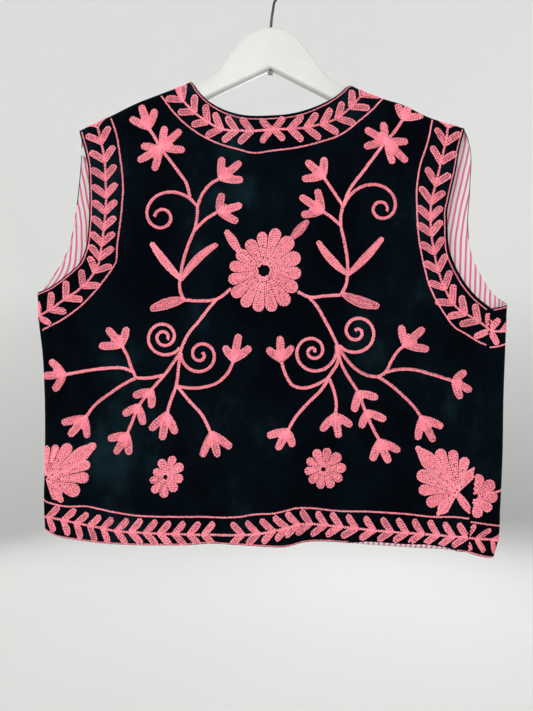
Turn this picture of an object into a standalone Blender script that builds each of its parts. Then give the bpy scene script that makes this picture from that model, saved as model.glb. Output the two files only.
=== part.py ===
"""Sleeveless folk vest of dark velvet with a striped lining, hung on a flat wooden hanger.

Units are metres and +Z is up. The origin is the inside top of the hanger's hook, where the
part is held. The back of the vest faces -Y, its fronts face +Y and the wearer's left is -X.

The cloth is one flattened tube, folded over at both sides and over the hanger's arms. A place
on it is (q, w) in millimetres: q runs across from the middle, w runs up. On the flat they are
x and z, and past a fold they go on along the cloth. Each panel is a patch of that surface.
"""

import math

import bmesh
import bpy
import numpy as np

MM = 0.001

# Hanger: a board with a round crown and two sloping arms
CROWN_Z = -62.0
HANGER_TILT = math.radians(0.9)
BOARD_THICKNESS = 12.0
BOARD_EDGE = 4.5
ARM_START_X = 90.0
ARM_SLOPE = math.radians(24.5)
ARM_END_X = 217.5
ARM_DROOP = 9.5
ARM_HEIGHT = 24.5
ARM_END_ROUND = 20.0
# x from the middle, then the upper and the lower edge, both measured down from the crown
BOARD_OUTLINE = (
    (0.0, 0.0, 48.5),
    (10.0, 1.1, 53.5),
    (20.0, 4.7, 58.5),
    (30.0, 11.6, 63.3),
    (38.0, 20.5, 67.2),
    (46.0, 31.0, 71.1),
    (60.0, 50.0, 78.0),
    (74.0, 61.0, 85.2),
    (ARM_START_X, 68.5, 68.5 + ARM_HEIGHT),
)

CROWN_CELLS = 13
ARM_CELLS = 4
# Where the sections of an arm's rounded end lie, as turns in degrees
END_TURNS = (25.0, 50.0, 72.0, 90.0)
END_SIZE = 0.3

# Hook: a bent wire, its shank through the crown with a nut below
WIRE_RADIUS = 1.5
SHANK_HOLE_RADIUS = 1.8
DRILL_LENGTH = 120.0
DRILL_SIDES = 20
HOOK_RADIUS = 17.0
# The hook's arc round its centre: first turn, last turn and step in degrees
HOOK_ARC = (-12.0, 204.0, 12.0)
# x and z of the wire from the crown's top up to the arc
HOOK_NECK = ((0.0, 2.0), (0.5, 10.0), (1.9, 20.0), (4.2, 31.0), (9.0, 36.4))
NECK_CELLS = 13
SHANK_TAIL = 1.5
NUT_RADIUS = 3.4
NUT_HEIGHT = 3.0
NUT_SIDES = 6
SEAT_GAP = 0.4

# Cloth thicknesses, and the gaps between pieces
VELVET = 1.4
LINING = 1.0
LINING_GAP = 0.6
CLOTH = VELVET + LINING_GAP + LINING
SEAM_GAP = 0.5
LINING_INSET = 2.0

# The flattened tube: its folds' outer radius, and how far the middle stands out at the hem
FOLD_RADIUS = 10.8
BULGE_BACK = 13.0
BULGE_FRONT = 15.0
BULGE_DROP = 480.0
BULGE_LIMIT = 1.2
# z, then x of the left and of the right side fold
SIDE_FOLDS = (
    (-680.0, -254.0, 253.5),
    (-650.0, -259.0, 262.0),
    (-615.0, -261.5, 264.0),
    (-560.0, -260.5, 266.5),
    (-480.0, -261.0, 268.0),
    (-440.0, -263.0, 269.5),
    (-400.0, -267.5, 271.0),
    (-365.0, -269.0, 272.5),
)
# x, then how far the cloth stands off the hanger's arm
ARM_LIFTS = (
    (-225.0, 0.0),
    (-185.0, 1.2),
    (-155.0, 3.0),
    (-125.0, 1.6),
    (-95.0, 0.4),
    (-86.0, 1.2),
    (86.0, 0.0),
    (108.0, 0.2),
    (130.0, 2.5),
    (149.0, 5.8),
    (163.0, 6.0),
    (177.0, 5.4),
    (192.0, 6.8),
    (210.0, 10.2),
    (225.0, 13.2),
)

# Pattern: the back is cut 530 mm wide, and the vest hangs twisted on its hanger
HALF_PATTERN = 265.0
TWIST_TOP_Z = -162.0
TWIST_TOP = 9.0
TWIST_PER_MM = 0.105

# Soft folds: side of the vest, x and z of the middle, direction from +X in degrees,
# half length, half width, and rise out of the vest
SOFT_FOLDS = (
    ("back", -188.0, -334.0, 3.0, 36.0, 9.0, -3.5),
    ("back", -104.0, -297.0, 38.0, 26.0, 9.0, -2.0),
    ("back", 174.0, -200.0, 80.0, 44.0, 13.0, 3.0),
    ("back", 196.0, -330.0, 60.0, 40.0, 12.0, -3.0),
    ("back", -6.0, -650.0, 90.0, 130.0, 26.0, 7.0),
    ("back", 60.0, -650.0, 88.0, 140.0, 24.0, -7.0),
    ("back", -68.0, -650.0, 94.0, 110.0, 18.0, -5.0),
    ("back", -150.0, -620.0, 84.0, 150.0, 30.0, 4.0),
    ("back", 142.0, -570.0, 98.0, 150.0, 32.0, 4.5),
    ("back", 208.0, -480.0, 86.0, 110.0, 20.0, -3.5),
    ("back", -214.0, -500.0, 92.0, 130.0, 20.0, -4.0),
    ("front", 190.0, -330.0, 128.0, 44.0, 11.0, -3.5),
    ("front", -176.0, -205.0, 98.0, 46.0, 13.0, 3.0),
    ("front", -192.0, -345.0, 55.0, 42.0, 12.0, -3.5),
    ("front", -70.0, -640.0, 92.0, 150.0, 28.0, 6.0),
    ("front", -140.0, -650.0, 86.0, 130.0, 24.0, -6.0),
    ("front", 96.0, -650.0, 90.0, 140.0, 26.0, -6.0),
    ("front", 160.0, -600.0, 95.0, 150.0, 28.0, 5.0),
    ("front", 215.0, -500.0, 88.0, 120.0, 20.0, -4.0),
    ("front", 84.0, -410.0, 108.0, 90.0, 26.0, -3.0),
)

# Edges of the cloth as (q, w). Armholes run down from the shoulder tip to the side seam.
SHOULDER_TIP_LEFT = -221.0
SHOULDER_TIP_RIGHT = 223.0
NECK_POINT_LEFT = -94.7
NECK_POINT_RIGHT = 95.7
BACK_NECK = (
    (-82.0, -140.8),
    (-74.5, -148.6),
    (-57.0, -160.0),
    (-36.0, -167.0),
    (0.0, -168.5),
    (24.0, -166.0),
    (55.0, -156.0),
    (75.0, -145.0),
)
BACK_ARMHOLE_LEFT = (
    (-212.5, -203.0),
    (-208.0, -223.0),
    (-206.5, -245.0),
    (-206.8, -290.0),
    (-210.0, -317.0),
    (-216.0, -332.0),
    (-234.0, -350.0),
    (-257.0, -365.5),
)
BACK_ARMHOLE_RIGHT = (
    (213.5, -206.0),
    (210.5, -225.5),
    (203.0, -259.0),
    (199.8, -275.0),
    (200.0, -293.0),
    (205.0, -328.0),
    (214.5, -349.0),
    (232.0, -372.0),
)
FRONT_ARMHOLE_LEFT = (
    (-221.5, -207.0),
    (-224.5, -243.0),
    (-228.5, -274.0),
    (-238.0, -317.0),
    (-248.0, -337.0),
    (-261.0, -355.5),
)
FRONT_ARMHOLE_RIGHT = (
    (229.0, -184.0),
    (232.5, -196.0),
    (232.8, -240.0),
    (230.5, -292.0),
    (234.5, -322.0),
    (246.0, -347.0),
    (263.0, -371.0),
    (284.0, -382.0),
)
UNDERARM_W_LEFT = -371.0
UNDERARM_W_RIGHT = -387.0
# w, then q of the left and of the right front
FRONT_NECK = (
    (-160.0, -83.0, 85.0),
    (-215.0, -64.0, 70.0),
    (-262.0, -33.0, 45.0),
)
FRONT_NECK_BOTTOM_W = -300.0
CENTRE_FRONT_TOP = 9.0
CENTRE_FRONT_HEM = 30.0
CENTRE_FRONT_GAP = 2.5
SEAM_HEM_W_LEFT = -641.0
SEAM_HEM_W_RIGHT = -662.5
CENTRE_HEM_W = -660.0
BACK_HEM = (
    (-255.0, -640.3),
    (-243.0, -645.0),
    (-228.0, -647.7),
    (-213.0, -649.5),
    (-193.0, -651.2),
    (-161.0, -651.2),
    (-112.0, -651.8),
    (-50.0, -650.4),
    (-8.0, -650.0),
    (18.0, -651.5),
    (36.0, -648.5),
    (62.0, -649.0),
    (101.0, -650.0),
    (141.0, -652.5),
    (195.0, -658.5),
)
FRONT_HEM_LEFT = (
    (-150.0, -648.0),
    (-60.0, -655.0),
)
FRONT_HEM_RIGHT = (
    (112.0, -662.5),
    (188.0, -667.0),
    (240.0, -670.5),
    (268.0, -671.0),
    (290.0, -667.5),
)

# Fractions along the panels' edges: underarm and foot of the neckline on their long sides,
# neck points on the back's upper edge
UNDERARM_V = 0.43
FRONT_NECK_V = 0.26
NECK_LEFT_U = 0.283
NECK_RIGHT_U = 0.707
# How the panels are divided: (fraction along the edge, cells up to there)
ROWS = ((0.04, 5), (0.33, 6), (UNDERARM_V, 6), (1.0, 12))
BACK_COLUMNS = (
    (0.085, 8),
    (NECK_LEFT_U, 4),
    (0.315, 4),
    (0.675, 7),
    (NECK_RIGHT_U, 4),
    (1.0, 7),
)
FRONT_LEFT_COLUMNS = ((0.10, 4), (1.0, 10))
FRONT_RIGHT_COLUMNS = ((0.84, 9), (1.0, 9))


def smooth_table(at, knots, values):
    """Read a table along a cubic curve through its points, level past both ends."""
    knots = np.asarray(knots, float)
    values = np.asarray(values, float)
    slopes = np.gradient(values, knots)
    cell = np.clip(np.searchsorted(knots, at) - 1, 0, len(knots) - 2)
    width = knots[cell + 1] - knots[cell]
    t = np.clip((at - knots[cell]) / width, 0.0, 1.0)
    start = values[cell] * (1 + 2 * t) * (1 - t) ** 2 + slopes[cell] * width * t * (1 - t) ** 2
    end = values[cell + 1] * t * t * (3 - 2 * t) - slopes[cell + 1] * width * t * t * (1 - t)
    return start + end


def along(points, fraction):
    """Points of a smooth curve through a list of (q, w), at fractions of its length."""
    points = np.asarray(points, float)
    steps = np.hypot(*np.diff(points, axis=0).T)
    length = np.concatenate(([0.0], np.cumsum(steps)))
    at = np.asarray(fraction, float) * length[-1]
    return np.stack([smooth_table(at, length, points[:, k]) for k in (0, 1)], axis=-1)


def stops(divisions):
    """Fractions from 0 to 1 that split each stretch into its number of cells."""
    values = [0.0]
    for end, cells in divisions:
        start = values[-1]
        values += [start + (end - start) * (k + 1) / cells for k in range(cells)]
    return np.array(values)


def side_fold_x(z, sign):
    """x of the side fold at a height, as a distance from the middle plane."""
    heights, left, right = np.array(SIDE_FOLDS).T
    return np.where(
        np.asarray(sign) < 0, -smooth_table(z, heights, left), smooth_table(z, heights, right)
    )


def arm_line(x):
    """Upper edge of the tilted hanger's arms, carried on inwards, and its slope."""
    tilt = np.where(x < 0, -HANGER_TILT, HANGER_TILT)
    slope = np.tan(ARM_SLOPE + tilt)
    side = np.where(x < 0, -1.0, 1.0)
    drop = BOARD_OUTLINE[-1][1]
    start_x = side * ARM_START_X * math.cos(HANGER_TILT) - drop * math.sin(HANGER_TILT)
    start_z = CROWN_Z - side * ARM_START_X * math.sin(HANGER_TILT) - drop * math.cos(HANGER_TILT)
    return start_z - slope * (np.abs(x) - np.abs(start_x)), slope


def ridge_z(x):
    """Top of the cloth where it goes over an arm, and the height of its rounding."""
    top, slope = arm_line(x)
    upright = np.sqrt(1 + slope ** 2)
    lift = smooth_table(x, *zip(*ARM_LIFTS))
    return top + (CLOTH + SEAT_GAP) * upright + lift, FOLD_RADIUS * upright


def soft_folds(side, x, z):
    """Rise of the cloth's own soft folds at a place on one side of the vest."""
    rise = np.zeros(np.broadcast(x, z).shape)
    wanted = "back" if side < 0 else "front"
    for name, x0, z0, degrees, half_length, half_width, height in SOFT_FOLDS:
        if name != wanted:
            continue
        run = math.radians(degrees)
        forward = (x - x0) * math.cos(run) + (z - z0) * math.sin(run)
        across = (z - z0) * math.cos(run) - (x - x0) * math.sin(run)
        rise += height * np.exp(-(forward / half_length) ** 2 - (across / half_width) ** 2)
    return rise


def cloth_point(side, q, w):
    """Outer surface of the cloth; side is -1 on the back and +1 on the fronts."""
    q, w = np.broadcast_arrays(np.asarray(q, float), np.asarray(w, float))
    sign = np.where(q < 0, -1.0, 1.0)
    flat = side_fold_x(w, sign) - FOLD_RADIUS
    crest = flat + FOLD_RADIUS * math.pi / 2
    past = np.abs(q) > crest
    reach = np.where(past, 2 * crest - np.abs(q), np.abs(q))
    side = np.where(past, -side, side)
    turn = np.clip((reach - flat) / FOLD_RADIUS, 0.0, math.pi / 2)
    x = sign * np.where(reach > flat, flat + FOLD_RADIUS * np.sin(turn), reach)
    top, rounding = ridge_z(x)
    tip = np.clip((w - (top - rounding)) / rounding, 0.0, math.pi / 2)
    z = np.where(tip > 0, top - rounding + rounding * np.sin(tip), w)
    drop = np.clip((top - z) / BULGE_DROP, 0.0, BULGE_LIMIT)
    middle = 1 - np.clip(np.abs(x) / (flat + FOLD_RADIUS), 0.0, 1.0) ** 2
    bulge = np.where(side < 0, BULGE_BACK, BULGE_FRONT) * drop * middle
    folds = np.where(side < 0, soft_folds(-1, x, z), soft_folds(1, x, z))
    y = side * np.cos(turn) * np.cos(tip) * (FOLD_RADIUS + bulge + folds)
    return np.stack([x, y, z], axis=-1)


def cloth_inside(side, q, w, depth):
    """The surface a depth below the outer one, along the cloth's normal."""
    step = 0.2
    across = cloth_point(side, q + step, w) - cloth_point(side, q - step, w)
    upward = cloth_point(side, q, w + step) - cloth_point(side, q, w - step)
    normal = np.cross(across, upward) * (-side)
    normal /= np.linalg.norm(normal, axis=-1, keepdims=True)
    return cloth_point(side, q, w) - depth * normal


def seam_q(sign, w):
    """Back coordinate of a side seam: the pattern's edge, moved over by the twist."""
    return sign * HALF_PATTERN + TWIST_TOP - TWIST_PER_MM * (TWIST_TOP_Z - w)


def to_front(q, w):
    """The same place past a side fold, in the other side's coordinate."""
    sign = np.where(q < 0, -1.0, 1.0)
    crest = side_fold_x(w, sign) - FOLD_RADIUS + FOLD_RADIUS * math.pi / 2
    return sign * (2 * crest - np.abs(q))


def seam_top(x):
    """w of the shoulder seam, on the crest over the arm."""
    top, rounding = ridge_z(np.asarray(x, float))
    return top + rounding * (math.pi / 2 - 1) - SEAM_GAP / 2


def side_edge(points, tip_x, sign, on_back, v):
    """One long side of a panel: the armhole, then the side seam down to the hem."""
    underarm = UNDERARM_W_LEFT if sign < 0 else UNDERARM_W_RIGHT
    hem = SEAM_HEM_W_LEFT if sign < 0 else SEAM_HEM_W_RIGHT
    down = np.clip((np.append(v, 0.0) - UNDERARM_V) / (1 - UNDERARM_V), 0, 1)
    w = underarm + (hem - underarm) * down
    q = seam_q(sign, w)
    if not on_back:
        q = to_front(q, w)
    seam = np.stack([q - sign * SEAM_GAP / 2, w], axis=-1)
    route = [(tip_x, float(seam_top(tip_x))), *points, tuple(seam[-1])]
    armhole = along(route, np.clip(v, 0, UNDERARM_V) / UNDERARM_V)
    return np.where((v < UNDERARM_V)[:, None], armhole, seam[:-1])


def neck_point(sign):
    """(q, w) where the neckline meets the shoulder seam."""
    x = NECK_POINT_LEFT if sign < 0 else NECK_POINT_RIGHT
    return (x, float(seam_top(x)))


def centre_edge(sign, v):
    """The neckline and the straight closing edge of one front."""
    middle = CENTRE_FRONT_TOP + sign * CENTRE_FRONT_GAP / 2
    neck = [neck_point(sign)]
    neck += [(left if sign < 0 else right, w) for w, left, right in FRONT_NECK]
    neck += [(middle, FRONT_NECK_BOTTOM_W)]
    upper = along(neck, np.clip(v, 0, FRONT_NECK_V) / FRONT_NECK_V)
    down = np.clip((v - FRONT_NECK_V) / (1 - FRONT_NECK_V), 0, 1)
    q = middle + (CENTRE_FRONT_HEM - CENTRE_FRONT_TOP) * down
    w = FRONT_NECK_BOTTOM_W + (CENTRE_HEM_W - FRONT_NECK_BOTTOM_W) * down
    return np.where((v < FRONT_NECK_V)[:, None], upper, np.stack([q, w], axis=-1))


def shoulder_edge(x_start, x_end, fraction):
    """The shoulder seam between two distances from the middle."""
    x = x_start + (x_end - x_start) * fraction
    return np.stack([x, seam_top(x)], axis=-1)


def back_top(u):
    """Left shoulder seam, back neckline and right shoulder seam of the back."""
    left, right = NECK_LEFT_U, NECK_RIGHT_U
    neck = [neck_point(-1), *BACK_NECK, neck_point(1)]
    over_right = np.clip((u - right) / (1 - right), 0, 1)
    first = shoulder_edge(SHOULDER_TIP_LEFT, NECK_POINT_LEFT, np.clip(u / left, 0, 1))
    middle = along(neck, np.clip((u - left) / (right - left), 0, 1))
    last = shoulder_edge(NECK_POINT_RIGHT, SHOULDER_TIP_RIGHT, over_right)
    edge = np.where((u <= left)[:, None], first, middle)
    return np.where((u > right)[:, None], last, edge)


def coons(top, bottom, left, right, u, v):
    """Grid of (q, w) between four edges, each a function of its own fraction."""
    ends = np.array([0.0, 1.0])
    corner = top(ends)
    foot = bottom(ends)
    across_u = u[None, :, None]
    down_v = v[:, None, None]
    across = (1 - down_v) * top(u)[None] + down_v * bottom(u)[None]
    down = (1 - across_u) * left(v)[:, None] + across_u * right(v)[:, None]
    corners = (1 - down_v) * ((1 - across_u) * corner[0] + across_u * corner[1])
    corners = corners + down_v * ((1 - across_u) * foot[0] + across_u * foot[1])
    return across + down - corners


def back_left_side(v):
    return side_edge(BACK_ARMHOLE_LEFT, SHOULDER_TIP_LEFT, -1, True, v)


def back_right_side(v):
    return side_edge(BACK_ARMHOLE_RIGHT, SHOULDER_TIP_RIGHT, 1, True, v)


def front_left_side(v):
    return side_edge(FRONT_ARMHOLE_LEFT, SHOULDER_TIP_LEFT, -1, False, v)


def front_right_side(v):
    return side_edge(FRONT_ARMHOLE_RIGHT, SHOULDER_TIP_RIGHT, 1, False, v)


def front_left_centre(v):
    return centre_edge(-1, v)


def front_right_centre(v):
    return centre_edge(1, v)


def hem_line(left, points, right, u):
    """A hem from the foot of one long side, through its points, to the other's."""
    end = np.array([1.0])
    return along([tuple(left(end)[0]), *points, tuple(right(end)[0])], u)


def back_hem(u):
    return hem_line(back_left_side, BACK_HEM, back_right_side, u)


def front_left_hem(u):
    return hem_line(front_left_side, FRONT_HEM_LEFT, front_left_centre, u)


def front_right_hem(u):
    return hem_line(front_right_centre, FRONT_HEM_RIGHT, front_right_side, u)


def front_left_top(u):
    return shoulder_edge(SHOULDER_TIP_LEFT, NECK_POINT_LEFT, u)


def front_right_top(u):
    return shoulder_edge(NECK_POINT_RIGHT, SHOULDER_TIP_RIGHT, u)


def back_patch(u, v):
    return coons(back_top, back_hem, back_left_side, back_right_side, u, v)


def front_left_patch(u, v):
    return coons(front_left_top, front_left_hem, front_left_side, front_left_centre, u, v)


def front_right_patch(u, v):
    return coons(front_right_top, front_right_hem, front_right_centre, front_right_side, u, v)


def clear_scene():
    for item in list(bpy.data.objects):
        bpy.data.objects.remove(item, do_unlink=True)


def make_material(name, colour, roughness, metallic=0.0):
    material = bpy.data.materials.new(name)
    material.use_nodes = True
    shader = material.node_tree.nodes["Principled BSDF"]
    shader.inputs["Base Color"].default_value = (*colour, 1.0)
    shader.inputs["Roughness"].default_value = roughness
    shader.inputs["Metallic"].default_value = metallic
    material.diffuse_color = (*colour, 1.0)
    return material


def add_solid(name, points, faces, material):
    """One closed solid from points in millimetres, smooth but for its sharp edges."""
    mesh = bpy.data.meshes.new(name)
    mesh.from_pydata((np.asarray(points) * MM).tolist(), [], faces)
    shape = bmesh.new()
    shape.from_mesh(mesh)
    bmesh.ops.recalc_face_normals(shape, faces=shape.faces)
    shape.to_mesh(mesh)
    shape.free()
    mesh.shade_smooth()
    mesh.set_sharp_from_angle(angle=math.radians(45.0))
    mesh.materials.append(material)
    solid = bpy.data.objects.new(name, mesh)
    bpy.context.scene.collection.objects.link(solid)
    return solid


def falling_diagonals(grid):
    """Which cells of a (q, w) grid are split from upper left to lower right."""
    falling = np.linalg.norm(grid[1:, 1:] - grid[:-1, :-1], axis=-1)
    rising = np.linalg.norm(grid[1:, :-1] - grid[:-1, 1:], axis=-1)
    return falling < rising


def grid_wall(name, outer, inner, falling, material):
    """A cloth wall between two grids of points, closed round its edge."""
    rows, columns = outer.shape[:2]
    points = np.concatenate([outer.reshape(-1, 3), inner.reshape(-1, 3)])
    layer = rows * columns
    faces = []
    for r in range(rows - 1):
        for c in range(columns - 1):
            a = r * columns + c
            b, d = a + 1, a + columns
            e = d + 1
            halves = [(a, b, e), (a, e, d)] if falling[r, c] else [(a, b, d), (b, e, d)]
            faces += halves
            faces += [(layer + i, layer + k, layer + j) for i, j, k in halves]
    ring = list(range(columns))
    ring += [r * columns + columns - 1 for r in range(1, rows)]
    ring += [(rows - 1) * columns + c for c in range(columns - 2, -1, -1)]
    ring += [r * columns for r in range(rows - 2, 0, -1)]
    for a, b in zip(ring, ring[1:] + ring[:1]):
        faces.append((a, layer + a, layer + b))
        faces.append((a, layer + b, b))
    return add_solid(name, points, faces, material)


def add_panel(name, side, patch, columns, thickness, material):
    """One cut piece, its outer face on the surface and its wall inside it."""
    grid = patch(stops(columns), stops(ROWS))
    q, w = grid[..., 0], grid[..., 1]
    outer = cloth_point(side, q, w)
    inner = cloth_inside(side, q, w, thickness)
    return grid_wall(name, outer, inner, falling_diagonals(grid), material)


def drawn_in(grid, inset):
    """A grid of points with its outermost rows and columns moved in along it."""
    most_of_cell = 0.6
    grid = grid.copy()
    for edge, beside in ((0, 1), (-1, -2)):
        for lines in (grid, grid.swapaxes(0, 1)):
            step = lines[beside] - lines[edge]
            length = np.linalg.norm(step, axis=-1, keepdims=True)
            lines[edge] += step * np.minimum(inset / length, most_of_cell)
    return grid


def add_lining(name, side, patch, columns, material):
    """The lining of a front: the velvet's own points moved in, a little smaller all round."""
    grid = patch(stops(columns), stops(ROWS))
    q, w = grid[..., 0], grid[..., 1]
    outer = drawn_in(cloth_inside(side, q, w, VELVET + LINING_GAP), LINING_INSET)
    inner = drawn_in(cloth_inside(side, q, w, CLOTH), LINING_INSET)
    return grid_wall(name, outer, inner, falling_diagonals(grid), material)


def board_edges(reach):
    """Drop of the board's upper and lower edge below the crown, at a distance from its middle."""
    distances, uppers, lowers = np.array(BOARD_OUTLINE).T
    past = max(0.0, reach - ARM_START_X)
    droop = ARM_DROOP * (past / (ARM_END_X - ARM_START_X)) ** 2
    fall = past * math.tan(ARM_SLOPE) + droop
    upper = float(smooth_table(reach, distances, uppers)) + fall
    lower = float(smooth_table(reach, distances, lowers)) + fall
    return upper, lower


def board_section(x):
    """Ring of (x, y, z) round the board at a distance from its middle."""
    upper, lower = board_edges(abs(x))
    end = max(0.0, abs(x) - (ARM_END_X - ARM_END_ROUND)) / ARM_END_ROUND
    size = max(math.sqrt(max(0.0, 1 - end * end)), END_SIZE)
    middle = (upper + lower) / 2
    top = middle - (lower - upper) / 2 * size
    bottom = middle + (lower - upper) / 2 * size
    half = BOARD_THICKNESS / 2 * size
    crest = min(half / math.cos(ARM_SLOPE), (bottom - top) / 2)
    edge = BOARD_EDGE * size
    # First and last turn in degrees, cells, half width, half height, and y and z of the centre
    arcs = (
        (0.0, 180.0, 6, half, crest, 0.0, -top - crest),
        (180.0, 270.0, 2, edge, edge, edge - half, edge - bottom),
        (270.0, 360.0, 2, edge, edge, half - edge, edge - bottom),
    )
    ring = []
    for first, last, cells, wide, high, y, z in arcs:
        for turn in np.radians(np.linspace(first, last, cells + 1)):
            ring.append((x, y + wide * math.cos(turn), z + high * math.sin(turn)))
    return ring


def board_stations():
    """Distances of the board's sections from its middle, one half."""
    arm_stop = ARM_END_X - ARM_END_ROUND
    crown = list(np.linspace(0.0, ARM_START_X, CROWN_CELLS + 1))
    arm = list(np.linspace(ARM_START_X, arm_stop, ARM_CELLS + 1))[1:]
    end = [arm_stop + ARM_END_ROUND * math.sin(math.radians(turn)) for turn in END_TURNS]
    return crown + arm + end


def place_on_hanger(item):
    """Set an object, made about the crown's top, at its place and tilt."""
    item.location = (0.0, 0.0, CROWN_Z * MM)
    item.rotation_euler = (0.0, HANGER_TILT, 0.0)


def add_hanger(material):
    half = board_stations()
    stations = [-x for x in reversed(half[1:])] + half
    rings = [board_section(x) for x in stations]
    count = len(rings[0])
    points = [point for ring in rings for point in ring]
    faces = [tuple(range(count)), tuple(range(len(points) - count, len(points)))]
    for s in range(len(rings) - 1):
        for k in range(count):
            a, b = s * count + k, s * count + (k + 1) % count
            faces.append((a, b, b + count, a + count))
    board = add_solid("hanger", points, faces, material)
    place_on_hanger(board)
    bpy.ops.mesh.primitive_cylinder_add(
        vertices=DRILL_SIDES, radius=SHANK_HOLE_RADIUS * MM, depth=DRILL_LENGTH * MM,
        location=(0, 0, 0),
    )
    drill = bpy.context.object
    drill.name = "shank_drill"
    drill.hide_render = True
    drill.display_type = "WIRE"
    place_on_hanger(drill)
    hole = board.modifiers.new("shank hole", "BOOLEAN")
    hole.operation = "DIFFERENCE"
    hole.object = drill
    return board


def hook_route():
    """Middle line of the hook's wire in the hanger's own plane, from its nut to its tip."""
    centre_x = CROWN_Z * math.sin(HANGER_TILT)
    centre_z = -CROWN_Z * math.cos(HANGER_TILT) + WIRE_RADIUS - HOOK_RADIUS
    first, last, step = HOOK_ARC
    turns = np.radians(np.arange(first, last + step / 2, step))
    arc_x = centre_x + HOOK_RADIUS * np.cos(turns)
    arc_z = centre_z + HOOK_RADIUS * np.sin(turns)
    arc = list(zip(arc_x, arc_z))
    neck = along([*HOOK_NECK, *arc[:2]], np.linspace(0, 1, NECK_CELLS + 1))
    shank_end = -(BOARD_OUTLINE[0][2] + NUT_HEIGHT + SHANK_TAIL)
    return [(0.0, shank_end), *neck, *arc[2:]]


def add_hook(material):
    curve = bpy.data.curves.new("hanger_hook", "CURVE")
    curve.dimensions = "3D"
    curve.bevel_depth = WIRE_RADIUS * MM
    curve.bevel_resolution = 2
    curve.use_fill_caps = True
    route = hook_route()
    spline = curve.splines.new("POLY")
    spline.points.add(len(route) - 1)
    for point, (x, z) in zip(spline.points, route):
        point.co = (x * MM, 0.0, z * MM, 1.0)
    curve.materials.append(material)
    hook = bpy.data.objects.new("hanger_hook", curve)
    bpy.context.scene.collection.objects.link(hook)
    place_on_hanger(hook)


def add_nut(material):
    """Hexagonal nut on the shank, below the notch under the crown."""
    top = -(BOARD_OUTLINE[0][2] + NUT_RADIUS / 2 + SEAT_GAP)
    foot = top - NUT_HEIGHT
    count = 2 * NUT_SIDES
    flat = math.cos(math.pi / NUT_SIDES)
    points = []
    for radius, corner, z in (
        (NUT_RADIUS, flat, top), (NUT_RADIUS, flat, foot),
        (SHANK_HOLE_RADIUS, 1.0, foot), (SHANK_HOLE_RADIUS, 1.0, top),
    ):
        for k in range(count):
            turn = 2 * math.pi * k / count
            reach = radius * (corner if k % 2 else 1.0)
            points.append((reach * math.cos(turn), reach * math.sin(turn), z))
    faces = []
    for start in range(0, len(points), count):
        for k in range(count):
            a = start + k
            b = start + (k + 1) % count
            faces.append((a, b, (b + count) % len(points), (a + count) % len(points)))
    place_on_hanger(add_solid("hook_nut", points, faces, material))


def main():
    clear_scene()
    velvet = make_material("velvet", (0.006, 0.012, 0.018), 0.85)
    lining = make_material("striped_lining", (0.78, 0.70, 0.68), 0.8)
    paint = make_material("white_paint", (0.72, 0.73, 0.69), 0.4)
    steel = make_material("dark_steel", (0.10, 0.10, 0.10), 0.4, 1.0)
    add_hanger(paint)
    add_hook(steel)
    add_nut(steel)
    add_panel("back", -1, back_patch, BACK_COLUMNS, CLOTH, velvet)
    add_panel("front_left", 1, front_left_patch, FRONT_LEFT_COLUMNS, VELVET, velvet)
    add_panel("front_right", 1, front_right_patch, FRONT_RIGHT_COLUMNS, VELVET, velvet)
    add_lining("lining_front_left", 1, front_left_patch, FRONT_LEFT_COLUMNS, lining)
    add_lining("lining_front_right", 1, front_right_patch, FRONT_RIGHT_COLUMNS, lining)


main()
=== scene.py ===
"""Looks of the embroidered folk vest: velvet with chain-stitch embroidery, a striped lining,
the painted hanger with its wire hook, and the studio that they are seen in.

The cloth's surface is worked out as in the part's own source. A place on it is (q, w) in
millimetres: q runs across from the middle, w runs up. On the flat they are x and z, and past
a side fold q goes on along the cloth. Lengths are millimetres until a mesh is written.
Places of the embroidery on the back are pixels of the 533 x 711 photograph. LEFT and RIGHT
are the sides of the photograph, which shows the back.
"""

import math
from functools import partial

import bmesh
import bpy
import numpy as np
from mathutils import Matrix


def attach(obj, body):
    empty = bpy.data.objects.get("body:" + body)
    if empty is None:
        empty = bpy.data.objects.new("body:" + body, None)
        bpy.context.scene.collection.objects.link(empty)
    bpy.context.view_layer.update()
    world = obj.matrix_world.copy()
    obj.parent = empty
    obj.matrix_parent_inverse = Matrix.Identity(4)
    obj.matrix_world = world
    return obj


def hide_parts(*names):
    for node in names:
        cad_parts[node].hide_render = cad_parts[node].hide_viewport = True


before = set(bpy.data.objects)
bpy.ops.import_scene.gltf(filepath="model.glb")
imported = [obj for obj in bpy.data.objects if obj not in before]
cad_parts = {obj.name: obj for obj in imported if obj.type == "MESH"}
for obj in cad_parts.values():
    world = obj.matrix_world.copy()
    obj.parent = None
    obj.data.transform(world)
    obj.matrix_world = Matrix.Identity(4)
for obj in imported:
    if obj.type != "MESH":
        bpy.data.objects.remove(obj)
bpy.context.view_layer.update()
MM = 0.001
BACK, FRONT = -1, 1
LEFT, RIGHT = -1, 1
BOTH = 0

# ---------------------------------------------------------------- the frame's own sizes

CROWN_Z = -62.0
HANGER_TILT = math.radians(0.9)
BOARD_THICKNESS = 12.0
BOARD_EDGE = 4.5
ARM_START_X = 90.0
ARM_SLOPE = math.radians(24.5)
ARM_END_X = 217.5
ARM_DROOP = 9.5
ARM_HEIGHT = 24.5
ARM_END_ROUND = 20.0
# x from the middle, then the upper and the lower edge, both measured down from the crown
BOARD_OUTLINE = (
    (0, 0, 48.5), (10, 1.1, 53.5), (20, 4.7, 58.5), (30, 11.6, 63.3), (38, 20.5, 67.2),
    (46, 31, 71.1), (60, 50, 78), (74, 61, 85.2), (ARM_START_X, 68.5, 68.5 + ARM_HEIGHT),
)
WIRE_RADIUS = 1.5
HOOK_RADIUS = 17.0
NUT_RADIUS = 3.4
NUT_HEIGHT = 3.0
SHANK_TAIL = 1.5
SEAT_GAP = 0.4

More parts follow.
